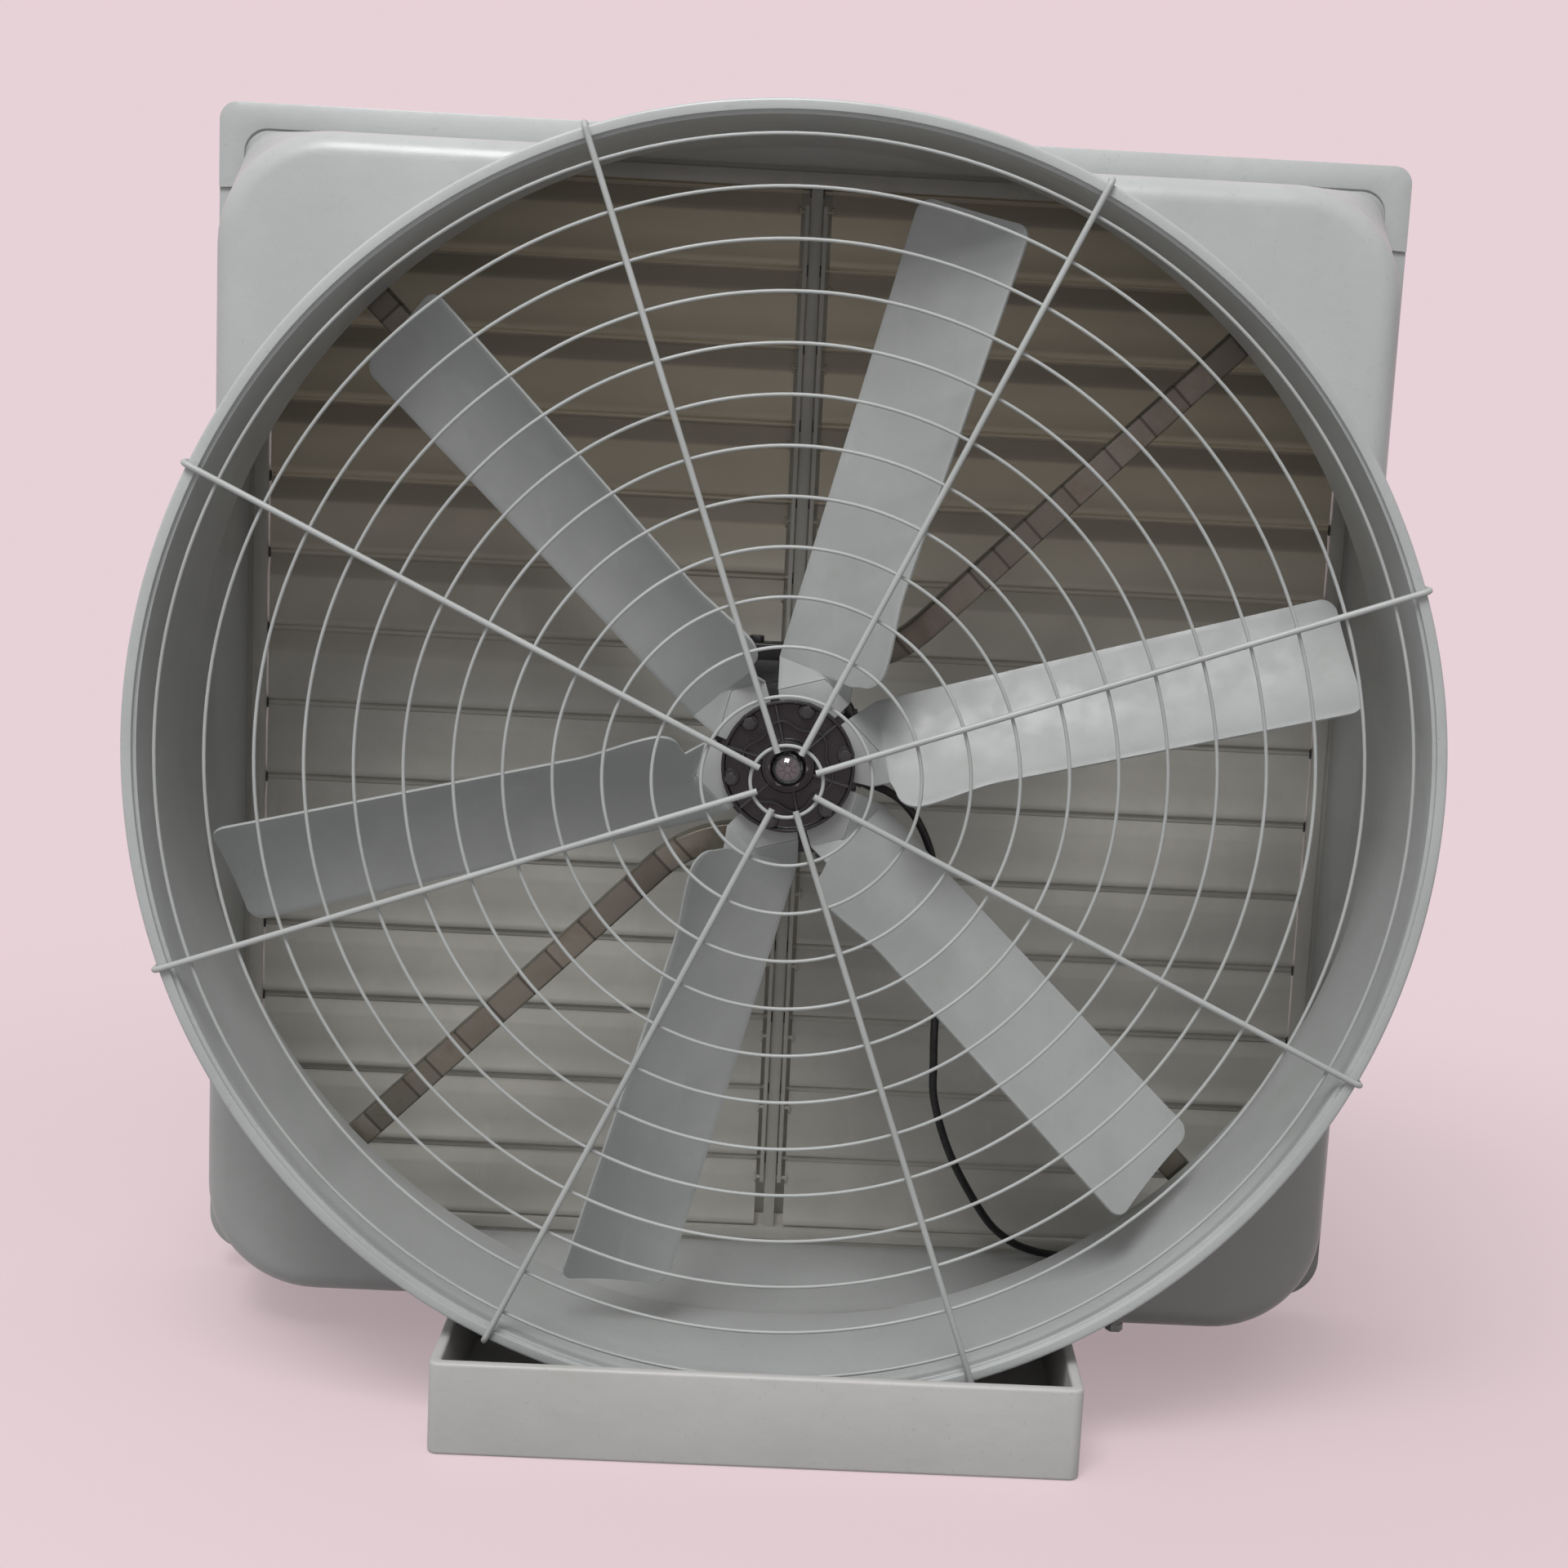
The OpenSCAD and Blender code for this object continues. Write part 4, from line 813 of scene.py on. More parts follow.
class FAN_OT_stage(Step, bpy.types.Operator):
    """Set the camera, the pale floor and the soft light"""

    bl_idname = "fan.stage"
    bl_label = "Stage"

    def build(self, scene):
        sizes = scene.fan_stage
        self.aim_camera(scene, sizes)
        self.lay_floor(sizes)
        self.light(scene, sizes)
        scene.view_settings.view_transform = "Standard"

    def aim_camera(self, scene, sizes):
        yaw, down, roll = (math.radians(a) for a in CAMERA_TURN)
        sy, cy = math.sin(yaw), math.cos(yaw)
        sp, cp = math.sin(down), math.cos(down)
        ahead = Vector((sy * cp, cy * cp, -sp))
        right = Vector((cy, -sy, 0))
        up = right.cross(ahead)
        side = math.cos(roll) * right + math.sin(roll) * up
        top = -math.sin(roll) * right + math.cos(roll) * up
        data = bpy.data.cameras.new("camera")
        data.lens = sizes.lens
        data.sensor_width = 36.0
        data.sensor_fit = "HORIZONTAL"
        data.shift_x, data.shift_y = CAMERA_SHIFT
        data.clip_start = 0.05
        data.clip_end = 200.0
        camera = linked("camera", data)
        turn = Matrix((side, top, -ahead)).transposed().to_4x4()
        camera.matrix_world = Matrix.Translation(CAMERA_PLACE) @ turn
        scene.camera = camera

    def lay_floor(self, sizes):
        half = sizes.floor / 2
        mesh = bpy.data.meshes.new("floor")
        mesh.from_pydata(
            [(-half, -half, 0), (half, -half, 0), (half, half, 0), (-half, half, 0)],
            [],
            [(0, 1, 2, 3)],
        )
        floor = linked("floor", mesh)
        s = Shading("floor")
        grain = s.ranged(s.noise(0.8, 2), 0.3, 0.7, 0.99, 1.0)
        pale = s.mix(grain, tone(sizes.backdrop, 0.99), sizes.backdrop)
        glow = s.add("Emission", Color=sizes.backdrop, Strength=1.0).outputs[0]
        away = s.add("VectorMath", {"operation": "LENGTH"}, Vector=s.place)
        far = s.ranged(away.outputs["Value"], 0.9, 2.6, 0.45, 1.0)
        rays = s.add("LightPath").outputs
        seen = s.maths("MAXIMUM", rays["Is Camera Ray"], rays["Is Glossy Ray"])
        thrown = s.mix(seen, (sizes.ground,) * 3, pale)
        matt = s.add("BsdfDiffuse", Color=thrown).outputs[0]
        both = s.blend(s.product(seen, far), matt, glow)
        s.add("OutputMaterial", Surface=both)
        mesh.materials.append(s.material)

    def light(self, scene, sizes):
        world = bpy.data.worlds.new("studio")
        world.use_nodes = True
        s = Shading.on(world.node_tree)
        lean = s.add("VectorMath", {"operation": "DOT_PRODUCT"})
        way = s.add("TexCoord").outputs["Generated"]
        s.join(lean.inputs[0], way)
        s.join(lean.inputs[1], SKY_SIDE)
        level = s.add("MapRange", Value=lean.outputs["Value"])
        for key, value in zip(RANGE, (-1.0, 1.0, sizes.shade, sizes.sky)):
            level.inputs[key].default_value = value
        soft = s.add(
            "Background", Color=(0.97, 0.99, 1.0), Strength=level.outputs[0]
        ).outputs[0]
        pale = s.add("Background", Color=sizes.backdrop, Strength=1.0).outputs[0]
        rays = s.add("LightPath").outputs
        seen = s.maths("MAXIMUM", rays["Is Camera Ray"], rays["Is Glossy Ray"])
        seen = s.maths("MAXIMUM", seen, rays["Is Transmission Ray"])
        s.add("OutputWorld", Surface=s.blend(seen, soft, pale))
        scene.world = world
        lamp = bpy.data.lights.new("key", "AREA")
        lamp.shape = "SQUARE"
        lamp.size = LAMP_SIDE
        lamp.energy = sizes.key
        turn = (Vector(LAMP_AIM) - Vector(LAMP_PLACE)).to_track_quat("-Z", "Y")
        linked("key", lamp).matrix_world = (
            Matrix.Translation(LAMP_PLACE) @ turn.to_matrix().to_4x4()
        )


# Motor lead

LEAD_ROUTE = [
    (99, 298, -44), (110, 298, -49), (122, 298, -54), (140, 299, -66), (160, 300, -90),
    (178, 300, -130), (190, 300, -190), (194, 300, -260), (194, 302, -342),
    (196, 312, -391), (201, 325, -447), (229, 350, -528), (277, 380, -612),
    (313, 415, -654), (345, 436, -674), (376, 445, -682.5), (415, 440, -684.8),
    (460, 425, -685), (505, 398, -683.5), (535, 365, -678.5), (548, 330, -668.5),
    (545, 297, -652), (531, 272, -633), (513, 262.6, -626.4), (494.2, 262, -626),
]


class FAN_OT_lead(Step, bpy.types.Operator):
    """Hang the black lead from the motor and lead it to the junction box"""

    bl_idname = "fan.lead"
    bl_label = "Motor lead"

    def build(self, scene):
        sizes = scene.fan_lead
        points = [Vector(p) * MM + FAN for p in LEAD_ROUTE]
        curve = bpy.data.curves.new("motor_lead_sheath", "CURVE")
        curve.dimensions = "3D"
        curve.bevel_depth = sizes.diameter / 2
        curve.bevel_resolution = 5
        curve.resolution_u = 10
        curve.use_fill_caps = True
        spline = curve.splines.new("BEZIER")
        spline.bezier_points.add(len(points) - 1)
        last = len(points) - 1
        for i, (point, knot) in enumerate(zip(points, spline.bezier_points)):
            lean = (points[min(i + 1, last)] - points[max(i - 1, 0)]) / 6
            knot.co = point
            knot.handle_left_type = knot.handle_right_type = "FREE"
            knot.handle_left = point - lean
            knot.handle_right = point + lean
        curve.materials.append(FINISH["rubber_black"])
        lead = linked("motor_lead_sheath", curve)
        keep_piece(lead, "housing", ["motor_lead"])

    def span(self, a, b):
        """The length of the curve between two knots."""
        steps = [
            (1 - t) ** 3 * a.co
            + 3 * (1 - t) ** 2 * t * a.handle_right
            + 3 * (1 - t) * t * t * b.handle_left
            + t**3 * b.co
            for t in (k / 16 for k in range(17))
        ]
        return sum((q - p).length for p, q in zip(steps, steps[1:]))


# Housing and horn


def square_reach(turns, half, corner, drop=0.0, low_corner=None):
    """Distance from the axis to a rounded square, whose lower side may differ, at each angle."""
    c, s = np.abs(np.cos(turns)), np.abs(np.sin(turns))
    below = np.sin(turns) < 0
    tall = np.where(below, half + drop, half)
    bend = np.where(below, corner if low_corner is None else low_corner, corner)
    flat = np.minimum(half / np.maximum(c, 1e-9), tall / np.maximum(s, 1e-9))
    x, z = half - bend, tall - bend
    along = c * x + s * z
    arc = along + np.sqrt(np.maximum(along**2 - x**2 - z**2 + bend**2, 0))
    return np.where((flat * c > x) & (flat * s > z), arc, flat)


def soft_max(a, b, blend):
    """The larger of two distances, eased where they cross."""
    h = np.clip(0.5 + 0.5 * (a - b) / blend, 0, 1)
    return b + (a - b) * h + blend * h * (1 - h)


def housing_turns():
    """Angles about the axis, closer together at the four corners."""
    base = np.arange(0, 90, 0.75)
    fine = np.arange(41.7, 48.3, 0.15)
    quarter = np.unique(np.round(np.concatenate([base, fine]), 3))
    return np.radians(np.concatenate([quarter + 90 * k for k in range(4)]))


class FAN_OT_housing(Step, bpy.types.Operator):
    """Build the moulded box, its wall flange and the thick band along the top"""

    bl_idname = "fan.housing"
    bl_label = "Housing"

    def build(self, scene):
        s, h = scene.fan_housing, scene.fan_horn
        turns = housing_turns()
        points, faces = loft(self.rows(s, h, turns), closed_rows=True)
        parts = [(points, faces), self.band(s)]
        shell = mesh_object("housing_moulding", *joined(parts), "shell", merge=2e-6)
        self.drill(shell, s)
        keep_piece(baked(shell), "housing", ["housing_shell"])

    def contour(self, s, h, turns, depth, inset):
        """Distance from the axis to the box's side at a depth behind its rounded edge."""
        front = h.reach + (s.wall + MM if inset else 0)
        edge = s.edge - inset / 2
        start = front + edge
        t = min(max((depth - start) / (s.flange_front - start), 0), 1)
        half = s.front / 2 - inset + t * (s.back - s.front) / 2
        corner = s.front_corner - inset + t * (s.back_corner - s.front_corner)
        if depth < start:
            a = math.acos(max(-1, min(1, 1 - (depth - front) / edge)))
            half -= edge * (1 - math.sin(a))
            corner -= edge * (1 - math.sin(a))
        box = square_reach(turns, half, corner, s.drop * (1 - t))
        return self.with_tail(box, s, h, depth, inset)

    def with_tail(self, box, s, h, depth, inset):
        """The box's side, or the horn's tail where it reaches further out."""
        tail_start = h.reach + h.tail
        out = h.inner + s.wall - inset
        fall = max(0.0, depth - tail_start) / h.taper
        return soft_max(box, out - h.drop * fall, 0.020)

    def rows(self, s, h, turns):
        """Rows from the horn over the box's outside, round the flange and back inside."""
        out = h.inner + s.wall
        rows = [ring(out - 0.002, h.reach - 0.009, turns)]
        front = self.contour(s, h, turns, h.reach, 0)
        bend = 0.008
        for k in range(5):
            a = math.radians(90 * k / 4)
            radius = np.minimum(out + bend * (1 - math.cos(a)) + 1e-4, np.maximum(front, out))
            rows.append(ring(radius, h.reach - bend + bend * math.sin(a), turns))
        last = np.minimum(out + bend, front)
        for t in (0.25, 0.5, 0.75, 1.0):
            rows.append(ring(last + t * (front - last), h.reach, turns))

        def sides(depths, inset):
            return [ring(self.contour(s, h, turns, y, inset), y, turns) for y in depths]

        rounding = 1 - np.cos(np.radians(np.arange(0, 91, 10)))
        rows += sides(h.reach + s.edge * rounding[1:], 0)
        fillet = 0.007
        end, tail = s.flange_front - fillet, h.reach + h.tail
        before = tail - 0.010
        rows += sides(np.linspace(h.reach + s.edge + 0.014, before, 5), 0)
        rows += sides(np.linspace(tail, end, 14), 0)
        side = self.contour(s, h, turns, end, 0)
        for k in range(1, 5):
            a = math.radians(90 * k / 4)
            rows.append(
                ring(side + fillet * (1 - math.cos(a)), end + fillet * math.sin(a), turns)
            )
        half, corner = s.flange / 2, s.flange_corner
        back = s.flange_front + s.flange_depth
        for inset, depth in (
            (0.0022, s.flange_front),
            (0.0007, s.flange_front + 0.0006),
            (0.0, s.flange_front + 0.0022),
            (0.0, back - 0.0016),
            (0.0005, back - 0.0004),
            (0.0016, back),
            (0.0036, back),
            (0.0047, back - 0.0005),
            (0.0050, back - 0.0016),
            (0.0050, s.flange_front + 0.0090),
            (0.0080, s.flange_front + 0.0060),
        ):
            edge = square_reach(turns, half - inset, corner - inset, 0.0, s.low_corner - inset)
            rows.append(ring(edge, depth, turns))
        opening = s.back / 2 - s.wall
        hole = square_reach(turns, opening, s.back_corner - s.wall)
        rows.append(ring(hole + 0.0015, s.flange_front + 0.0060, turns))
        rows.append(ring(hole, s.flange_front + 0.0045, turns))
        rows += sides(np.linspace(end, tail, 12), s.wall)
        rows += sides(np.linspace(before, h.reach + 0.037, 4), s.wall)
        inside = h.reach + s.wall + MM
        rows += sides(inside + (s.edge - s.wall / 2) * rounding[-2::-1], s.wall)
        rows.append(ring(h.inner, inside, turns))
        rows.append(ring(h.inner, h.reach + 0.0002, turns))
        rows.append(ring(out - 0.002, h.reach + 0.0002, turns))
        return rows

    def band(self, s):
        """The thick strip along the flange's top, which runs a little way down both sides."""
        half, low = s.flange / 2 - 0.0004, s.flange / 2 - s.band
        turns = housing_turns()
        outer = square_reach(turns, half, s.flange_corner)
        front = s.flange_front - s.band_proud
        above = turns[outer * np.sin(turns) >= low]
        first = math.asin(low / math.hypot(half, low))
        edge_turns = np.concatenate([[first], above, [math.pi - first]])
        outer = square_reach(edge_turns, half, s.flange_corner)
        gap = 0.004
        inner_half = s.back / 2 + gap
        inner_first = math.asin(low / math.hypot(inner_half, low))
        inner_turns = np.clip(edge_turns, inner_first, math.pi - inner_first)
        inner = square_reach(inner_turns, inner_half, s.back_corner + gap)
        ease = 0.0014
        steps = (
            (0.0, s.flange_front + 0.0005),
            (0.0, front + ease),
            (ease * 0.3, front + ease * 0.3),
            (ease, front),
        )
        rows = [ring(outer - shift, depth, edge_turns) for shift, depth in steps]
        rows += [ring(inner + shift, depth, inner_turns) for shift, depth in reversed(steps)]
        points, faces = loft(rows, closed_rows=True, closed_columns=False)
        width = len(edge_turns)
        faces.append(tuple(i * width for i in range(len(rows))))
        faces.append(tuple((i + 1) * width - 1 for i in reversed(range(len(rows)))))
        return points, faces

    def drill(self, shell, s):
        """The four wall bolt holes, where the record says they are."""
        across, up = 0.7145, 0.3
        parts = []
        for x in (-across, across):
            for z in (-up, up):
                path = [Vector((x, s.flange_front + y, z)) for y in (-0.004, 0.010)]
                parts.append(sweep(path, s.hole, 32))
        cutter = mesh_object("wall_hole_drill", *joined(parts), "shell")
        cut = shell.modifiers.new("Holes", "BOOLEAN")
        cut.operation = "DIFFERENCE"
        cut.solver = "EXACT"
        cut.object = cutter
        mesh = bpy.data.meshes.new_from_object(
            shell.evaluated_get(bpy.context.evaluated_depsgraph_get())
        )
        shell.modifiers.clear()
        shell.data = mesh
        bpy.data.objects.remove(cutter)


class FAN_OT_horn(Step, bpy.types.Operator):
    """Turn the outlet horn with its rim bead and ledge"""

    bl_idname = "fan.horn"
    bl_label = "Outlet horn"

    def build(self, scene):
        h, wall = scene.fan_horn, scene.fan_housing.wall
        lip = h.inner + h.ledge
        rim = lip + h.rim
        profile = eased(
            [
                (h.inner, h.reach, 0),
                (h.inner, h.reach * 0.6, 0),
                (h.inner, h.reach * 0.3, 0),
                (h.inner, h.ledge_depth, 0.0012),
                (lip, h.ledge_depth, 0.0008),
                (lip, 0.0, 0.0012),
                (rim, 0.0, 0.0034),
                (rim, h.bead, 0.0016),
                (h.inner + wall, h.bead, 0.0030),
                (h.inner + wall, h.reach * 0.5, 0),
                (h.inner + wall, h.reach, 0),
            ]
        )
        points, faces = lathe(profile, 288)
        points = [self.uneven(Vector(p)) for p in points]
        horn = mesh_object("horn_moulding", points, faces, "shell")
        keep_piece(horn, "housing", ["outlet_horn"])

    def uneven(self, p):
        """A moulded ring is never quite round."""
        turn = math.atan2(p.z, p.x)
        shift = 0.0005 * math.sin(3 * turn + 0.6) + 0.0003 * math.sin(11 * turn)
        front = max(0.0, 1 - p.y / 0.10)
        radius = math.hypot(p.x, p.z)
        grown = (radius + shift * front) / radius
        return Vector((p.x * grown, p.y, p.z * grown))


# Guard


class FAN_OT_guard(Step, bpy.types.Operator):
    """Bend the rings and rods of the wire guard, with their welds"""

    bl_idname = "fan.guard"
    bl_label = "Wire guard"

    def build(self, scene):
        g, h = scene.fan_guard, scene.fan_horn
        rod_depth = -g.rod_wire / 2 - GAP
        ring_depth = rod_depth + g.rod_wire / 2 + g.ring_wire / 2 + GAP
        self.rings(g, ring_depth)
        self.rods(g, h, rod_depth, ring_depth)

    def rings(self, g, depth):
        t = NodeTree(
            "Guard rings",
            {
                "Count": g.rings,
                "First radius": g.first,
                "Pitch": g.pitch,
                "Wire": g.ring_wire,
                "Place": tuple(FAN + Vector((0, depth, 0))),
            },
        )
        spots = t.add("Points", Count=t["Count"])[0]
        index = t.add("InputIndex")[0]
        radius = t.times(index, t["Pitch"])
        radius = t.maths("ADD", radius, t["First radius"])
        hoop = t.add("CurvePrimitiveCircle", Resolution=192, Radius=1.0)[0]
        hoops = t.add(
            "InstanceOnPoints",
            Points=spots,
            Instance=hoop,
            Scale=t.vector(radius, radius, radius),
        )[0]
        hoops = t.add("RealizeInstances", Geometry=hoops)[0]
        section = t.add(
            "CurvePrimitiveCircle", Resolution=12, Radius=t.times(t["Wire"], 0.5)
        )[0]
        wires = t.add("CurveToMesh", Curve=hoops, Profile_Curve=section)[0]
        wires = t.add(
            "Transform", Geometry=wires, Translation=t["Place"], Rotation=(math.pi / 2, 0, 0)
        )[0]
        t.close(wires, FINISH["guard_wire"])
        name = "guard_ring_wires"
        obj = t.run(name, bpy.data.meshes.new(name), crease=60.0)
        keep_piece(obj, "housing", ["guard_rings"])

    def rods(self, g, h, depth, ring_depth):
        rim = h.inner + h.ledge + h.rim
        out = rim + GAP + g.rod_wire / 2
        start = g.first - g.ring_wire / 2 - 0.004
        bend = out - g.hook
        path = [(start, depth, 0), (start + (bend - start) * 0.5, depth, 0)]
        for k in range(9):
            a = math.radians(90 * k / 8)
            path.append((bend + g.hook * math.sin(a), depth + g.hook * (1 - math.cos(a)), 0))
        path.append((out, depth + g.hook + g.hook_end, 0))
        t = NodeTree(
            "Guard rods",
            {
                "Rods": g.rods,
                "Rings": g.rings,
                "First angle": g.turn,
                "First radius": g.first,
                "Pitch": g.pitch,
                "Wire": g.rod_wire,
                "Weld": 0.0034,
                "Weld depth": ring_depth - 0.0026,
                "Place": tuple(FAN),
            },
        )
        step = t.maths("DIVIDE", 2 * math.pi, t["Rods"])
        index = t.add("InputIndex")[0]
        turn = t.maths("ADD", t.times(index, step), t["First angle"])
        rod = t.add("MeshToCurve", Mesh=t["Geometry"])[0]
        spots = t.add("Points", Count=t["Rods"])[0]
        rods = t.add(
            "InstanceOnPoints",
            Points=spots,
            Instance=rod,
            Rotation=t.vector(0.0, t.times(turn, -1.0), 0.0),
        )[0]
        rods = t.add("RealizeInstances", Geometry=rods)[0]
        section = t.add(
            "CurvePrimitiveCircle", Resolution=14, Radius=t.times(t["Wire"], 0.5)
        )[0]
        wires = t.add("CurveToMesh", Curve=rods, Profile_Curve=section, Fill_Caps=True)[0]
        count = t.times(t["Rods"], t["Rings"])
        ring_no = t.maths("MODULO", index, t["Rings"])
        rod_no = t.maths("FLOOR", t.maths("DIVIDE", index, t["Rings"]))
        at = t.maths("ADD", t.times(rod_no, step), t["First angle"])
        reach = t.maths("ADD", t.times(ring_no, t["Pitch"]), t["First radius"])
        place = t.vector(
            t.times(reach, t.maths("COSINE", at)),
            t["Weld depth"],
            t.times(reach, t.maths("SINE", at)),
        )
        joints = t.add("Points", Count=count, Position=place)[0]
        bead = t.add("MeshIcoSphere", Radius=t["Weld"], Subdivisions=2)[0]
        size = t.add(
            "FunctionNodeRandomValue", {"data_type": "FLOAT"}, i2=0.8, i3=1.15, Seed=7
        )[1]
        welds = t.add(
            "InstanceOnPoints",
            Points=joints,
            Instance=bead,
            Rotation=t.vector(0.0, t.times(at, -1.0), 0.0),
            Scale=t.vector(t.times(size, 1.25), 0.8, 1.0),
        )[0]
        moved = t.add("Transform", Geometry=t.gathered(wires, welds), Translation=t["Place"])[0]
        t.close(moved, FINISH["guard_wire"])
        obj = t.run("guard_rod_wires", outline_mesh("guard_rod_path", path), crease=60.0)
        keep_piece(obj, "housing", ["guard_rods"])


# Impeller

# From the foot's edge to the blade's root
ROOT_RISE = 0.013
# Corner radius at a blade's tip
TIP_ROUND = 0.018


class FAN_OT_blades(Step, bpy.types.Operator):
    """Press the six blades with their twisted roots and flat feet"""

    bl_idname = "fan.blades"
    bl_label = "Blades"

    def build(self, scene):
        s = scene.fan_impeller
        for k in range(BLADES):
            self.blade(s, k)

    def edges(self, s, x):
        """How far the front and the back edge lie from the blade's middle line."""
        full, root = s.chord / 2, s.foot + ROOT_RISE
        swollen = full + s.swell
        corner = root + 0.004 + s.corner
        back = full - s.waist * (1 - (x - root) / (s.tip - TIP_ROUND - root))
        if x < root + 0.004:
            front = 0.046 + (swollen - s.corner - 0.046) * (x - root) / 0.004
        elif x < corner:
            front = swollen - s.corner + math.sqrt(max(0, s.corner**2 - (corner - x) ** 2))
        else:
            t = min(1, (x - corner) / 0.090)
            front = swollen - s.swell * t * t * (3 - 2 * t)
        if x > s.tip - TIP_ROUND:
            fall = math.sqrt(max(0, TIP_ROUND**2 - (x - s.tip + TIP_ROUND) ** 2))
            back = front = full - TIP_ROUND + fall
        return front, back

    def pressed(self, s, x, c):
        """A point of the sheet, bowed across and turned to its pitch."""
        bow = (s.chord**2 / 4 + s.camber**2) / (2 * s.camber)
        y = math.sqrt(bow * bow - c * c) - bow + s.camber / 2
        up, out = math.cos(s.pitch), math.sin(s.pitch)
        return Vector((x, y * up + c * out, c * up - y * out))

    def blade(self, s, index):
        root = s.foot + ROOT_RISE
        bends = range(0, 91, 9)
        stations = [root, root + 0.002]
        stations += [root + 0.004 + s.corner * (1 - math.cos(math.radians(a))) for a in bends]
        stations += list(np.linspace(root + 0.040, root + 0.125, 10))
        stations += list(np.linspace(root + 0.150, s.tip - 0.022, 16))
        stations += [s.tip - TIP_ROUND * (1 - math.sin(math.radians(a))) for a in bends]
        across = np.linspace(-1, 1, 21)
        rows = self.folds(s, root, across)
        for x in stations:
            front, back = self.edges(s, x)
            rows.append(
                np.array([self.pressed(s, x, v * (front if v < 0 else back)) for v in across])
            )
        points, faces = loft(rows, closed_columns=False)
        placed = self.placed(s, index, points)
        name = f"blade_{index + 1}_pressing"
        sheet = mesh_object(name + "_sheet", placed, faces, "blade")
        self.face_front(sheet)
        thick = sheet.modifiers.new("Sheet", "SOLIDIFY")
        thick.thickness = s.sheet
        thick.offset = 0.0
        rounded_edges(sheet, 0.0007, over=50)
        sheet = baked(sheet)
        foot = self.foot(s, index, name + "_foot")
        whole = self.merged(name, [sheet, foot])
        keep_piece(whole, "impeller", [f"blade_{index + 1}"])

    def fold_line(self, s):
        """The three corners where the foot is folded up into the blade."""
        return (
            Vector((s.foot - 0.009, 0, -0.043)),
            Vector((s.foot + 0.0085, 0, -0.008)),
            Vector((s.foot - 0.020, 0, 0.038)),
        )

    def folds(self, s, root, across):
        """Rows from the foot's folded edge to the blade's root."""
        first, middle, last = self.fold_line(s)
        front, back = self.edges(s, root)
        rows = []
        for t in (0.0, 0.06, 0.5, 0.94):
            row = []
            for v in across:
                low = middle.lerp(first, -v) if v < 0 else middle.lerp(last, v)
                row.append(low.lerp(self.pressed(s, root, v * (front if v < 0 else back)), t))
            rows.append(np.array(row))
        return rows

    def face_front(self, sheet):
        """Turns the sheet's normals to the front, so both faces get their thickness alike."""
        bm = bmesh.new()
        bm.from_mesh(sheet.data)
        if sum(f.normal.y * f.calc_area() for f in bm.faces) > 0:
            bmesh.ops.reverse_faces(bm, faces=bm.faces)
        bm.to_mesh(sheet.data)
        bm.free()

    def placed(self, s, index, points):
        a = s.turn + index * 2 * math.pi / BLADES
        c, n = math.cos(a), math.sin(a)
        return [(p[0] * c - p[2] * n, p[1] + s.depth, p[0] * n + p[2] * c) for p in points]

    def foot(self, s, index, name):
        inner, thick = 0.038, 0.004
        first, middle, last = self.fold_line(s)
        low, high = math.atan2(first.z, first.x), math.atan2(last.z, last.x)
        outline = [(p.x, p.z) for p in (first, middle, last)]
        outline += [
            (inner * math.cos(a), inner * math.sin(a)) for a in np.linspace(high, low, 13)
        ]
        points, faces = plate(outline, -thick / 2, thick / 2)
        foot = mesh_object(name, self.placed(s, index, points), faces, "blade")
        rounded_edges(foot, 0.0010, over=40)
        return baked(foot)

    def merged(self, name, parts):
        bm = bmesh.new()
        for part in parts:
            bm.from_mesh(part.data)
            bpy.data.objects.remove(part)
        mesh = bpy.data.meshes.new(name)
        bm.to_mesh(mesh)
        bm.free()
        return shown(name, mesh, "blade")


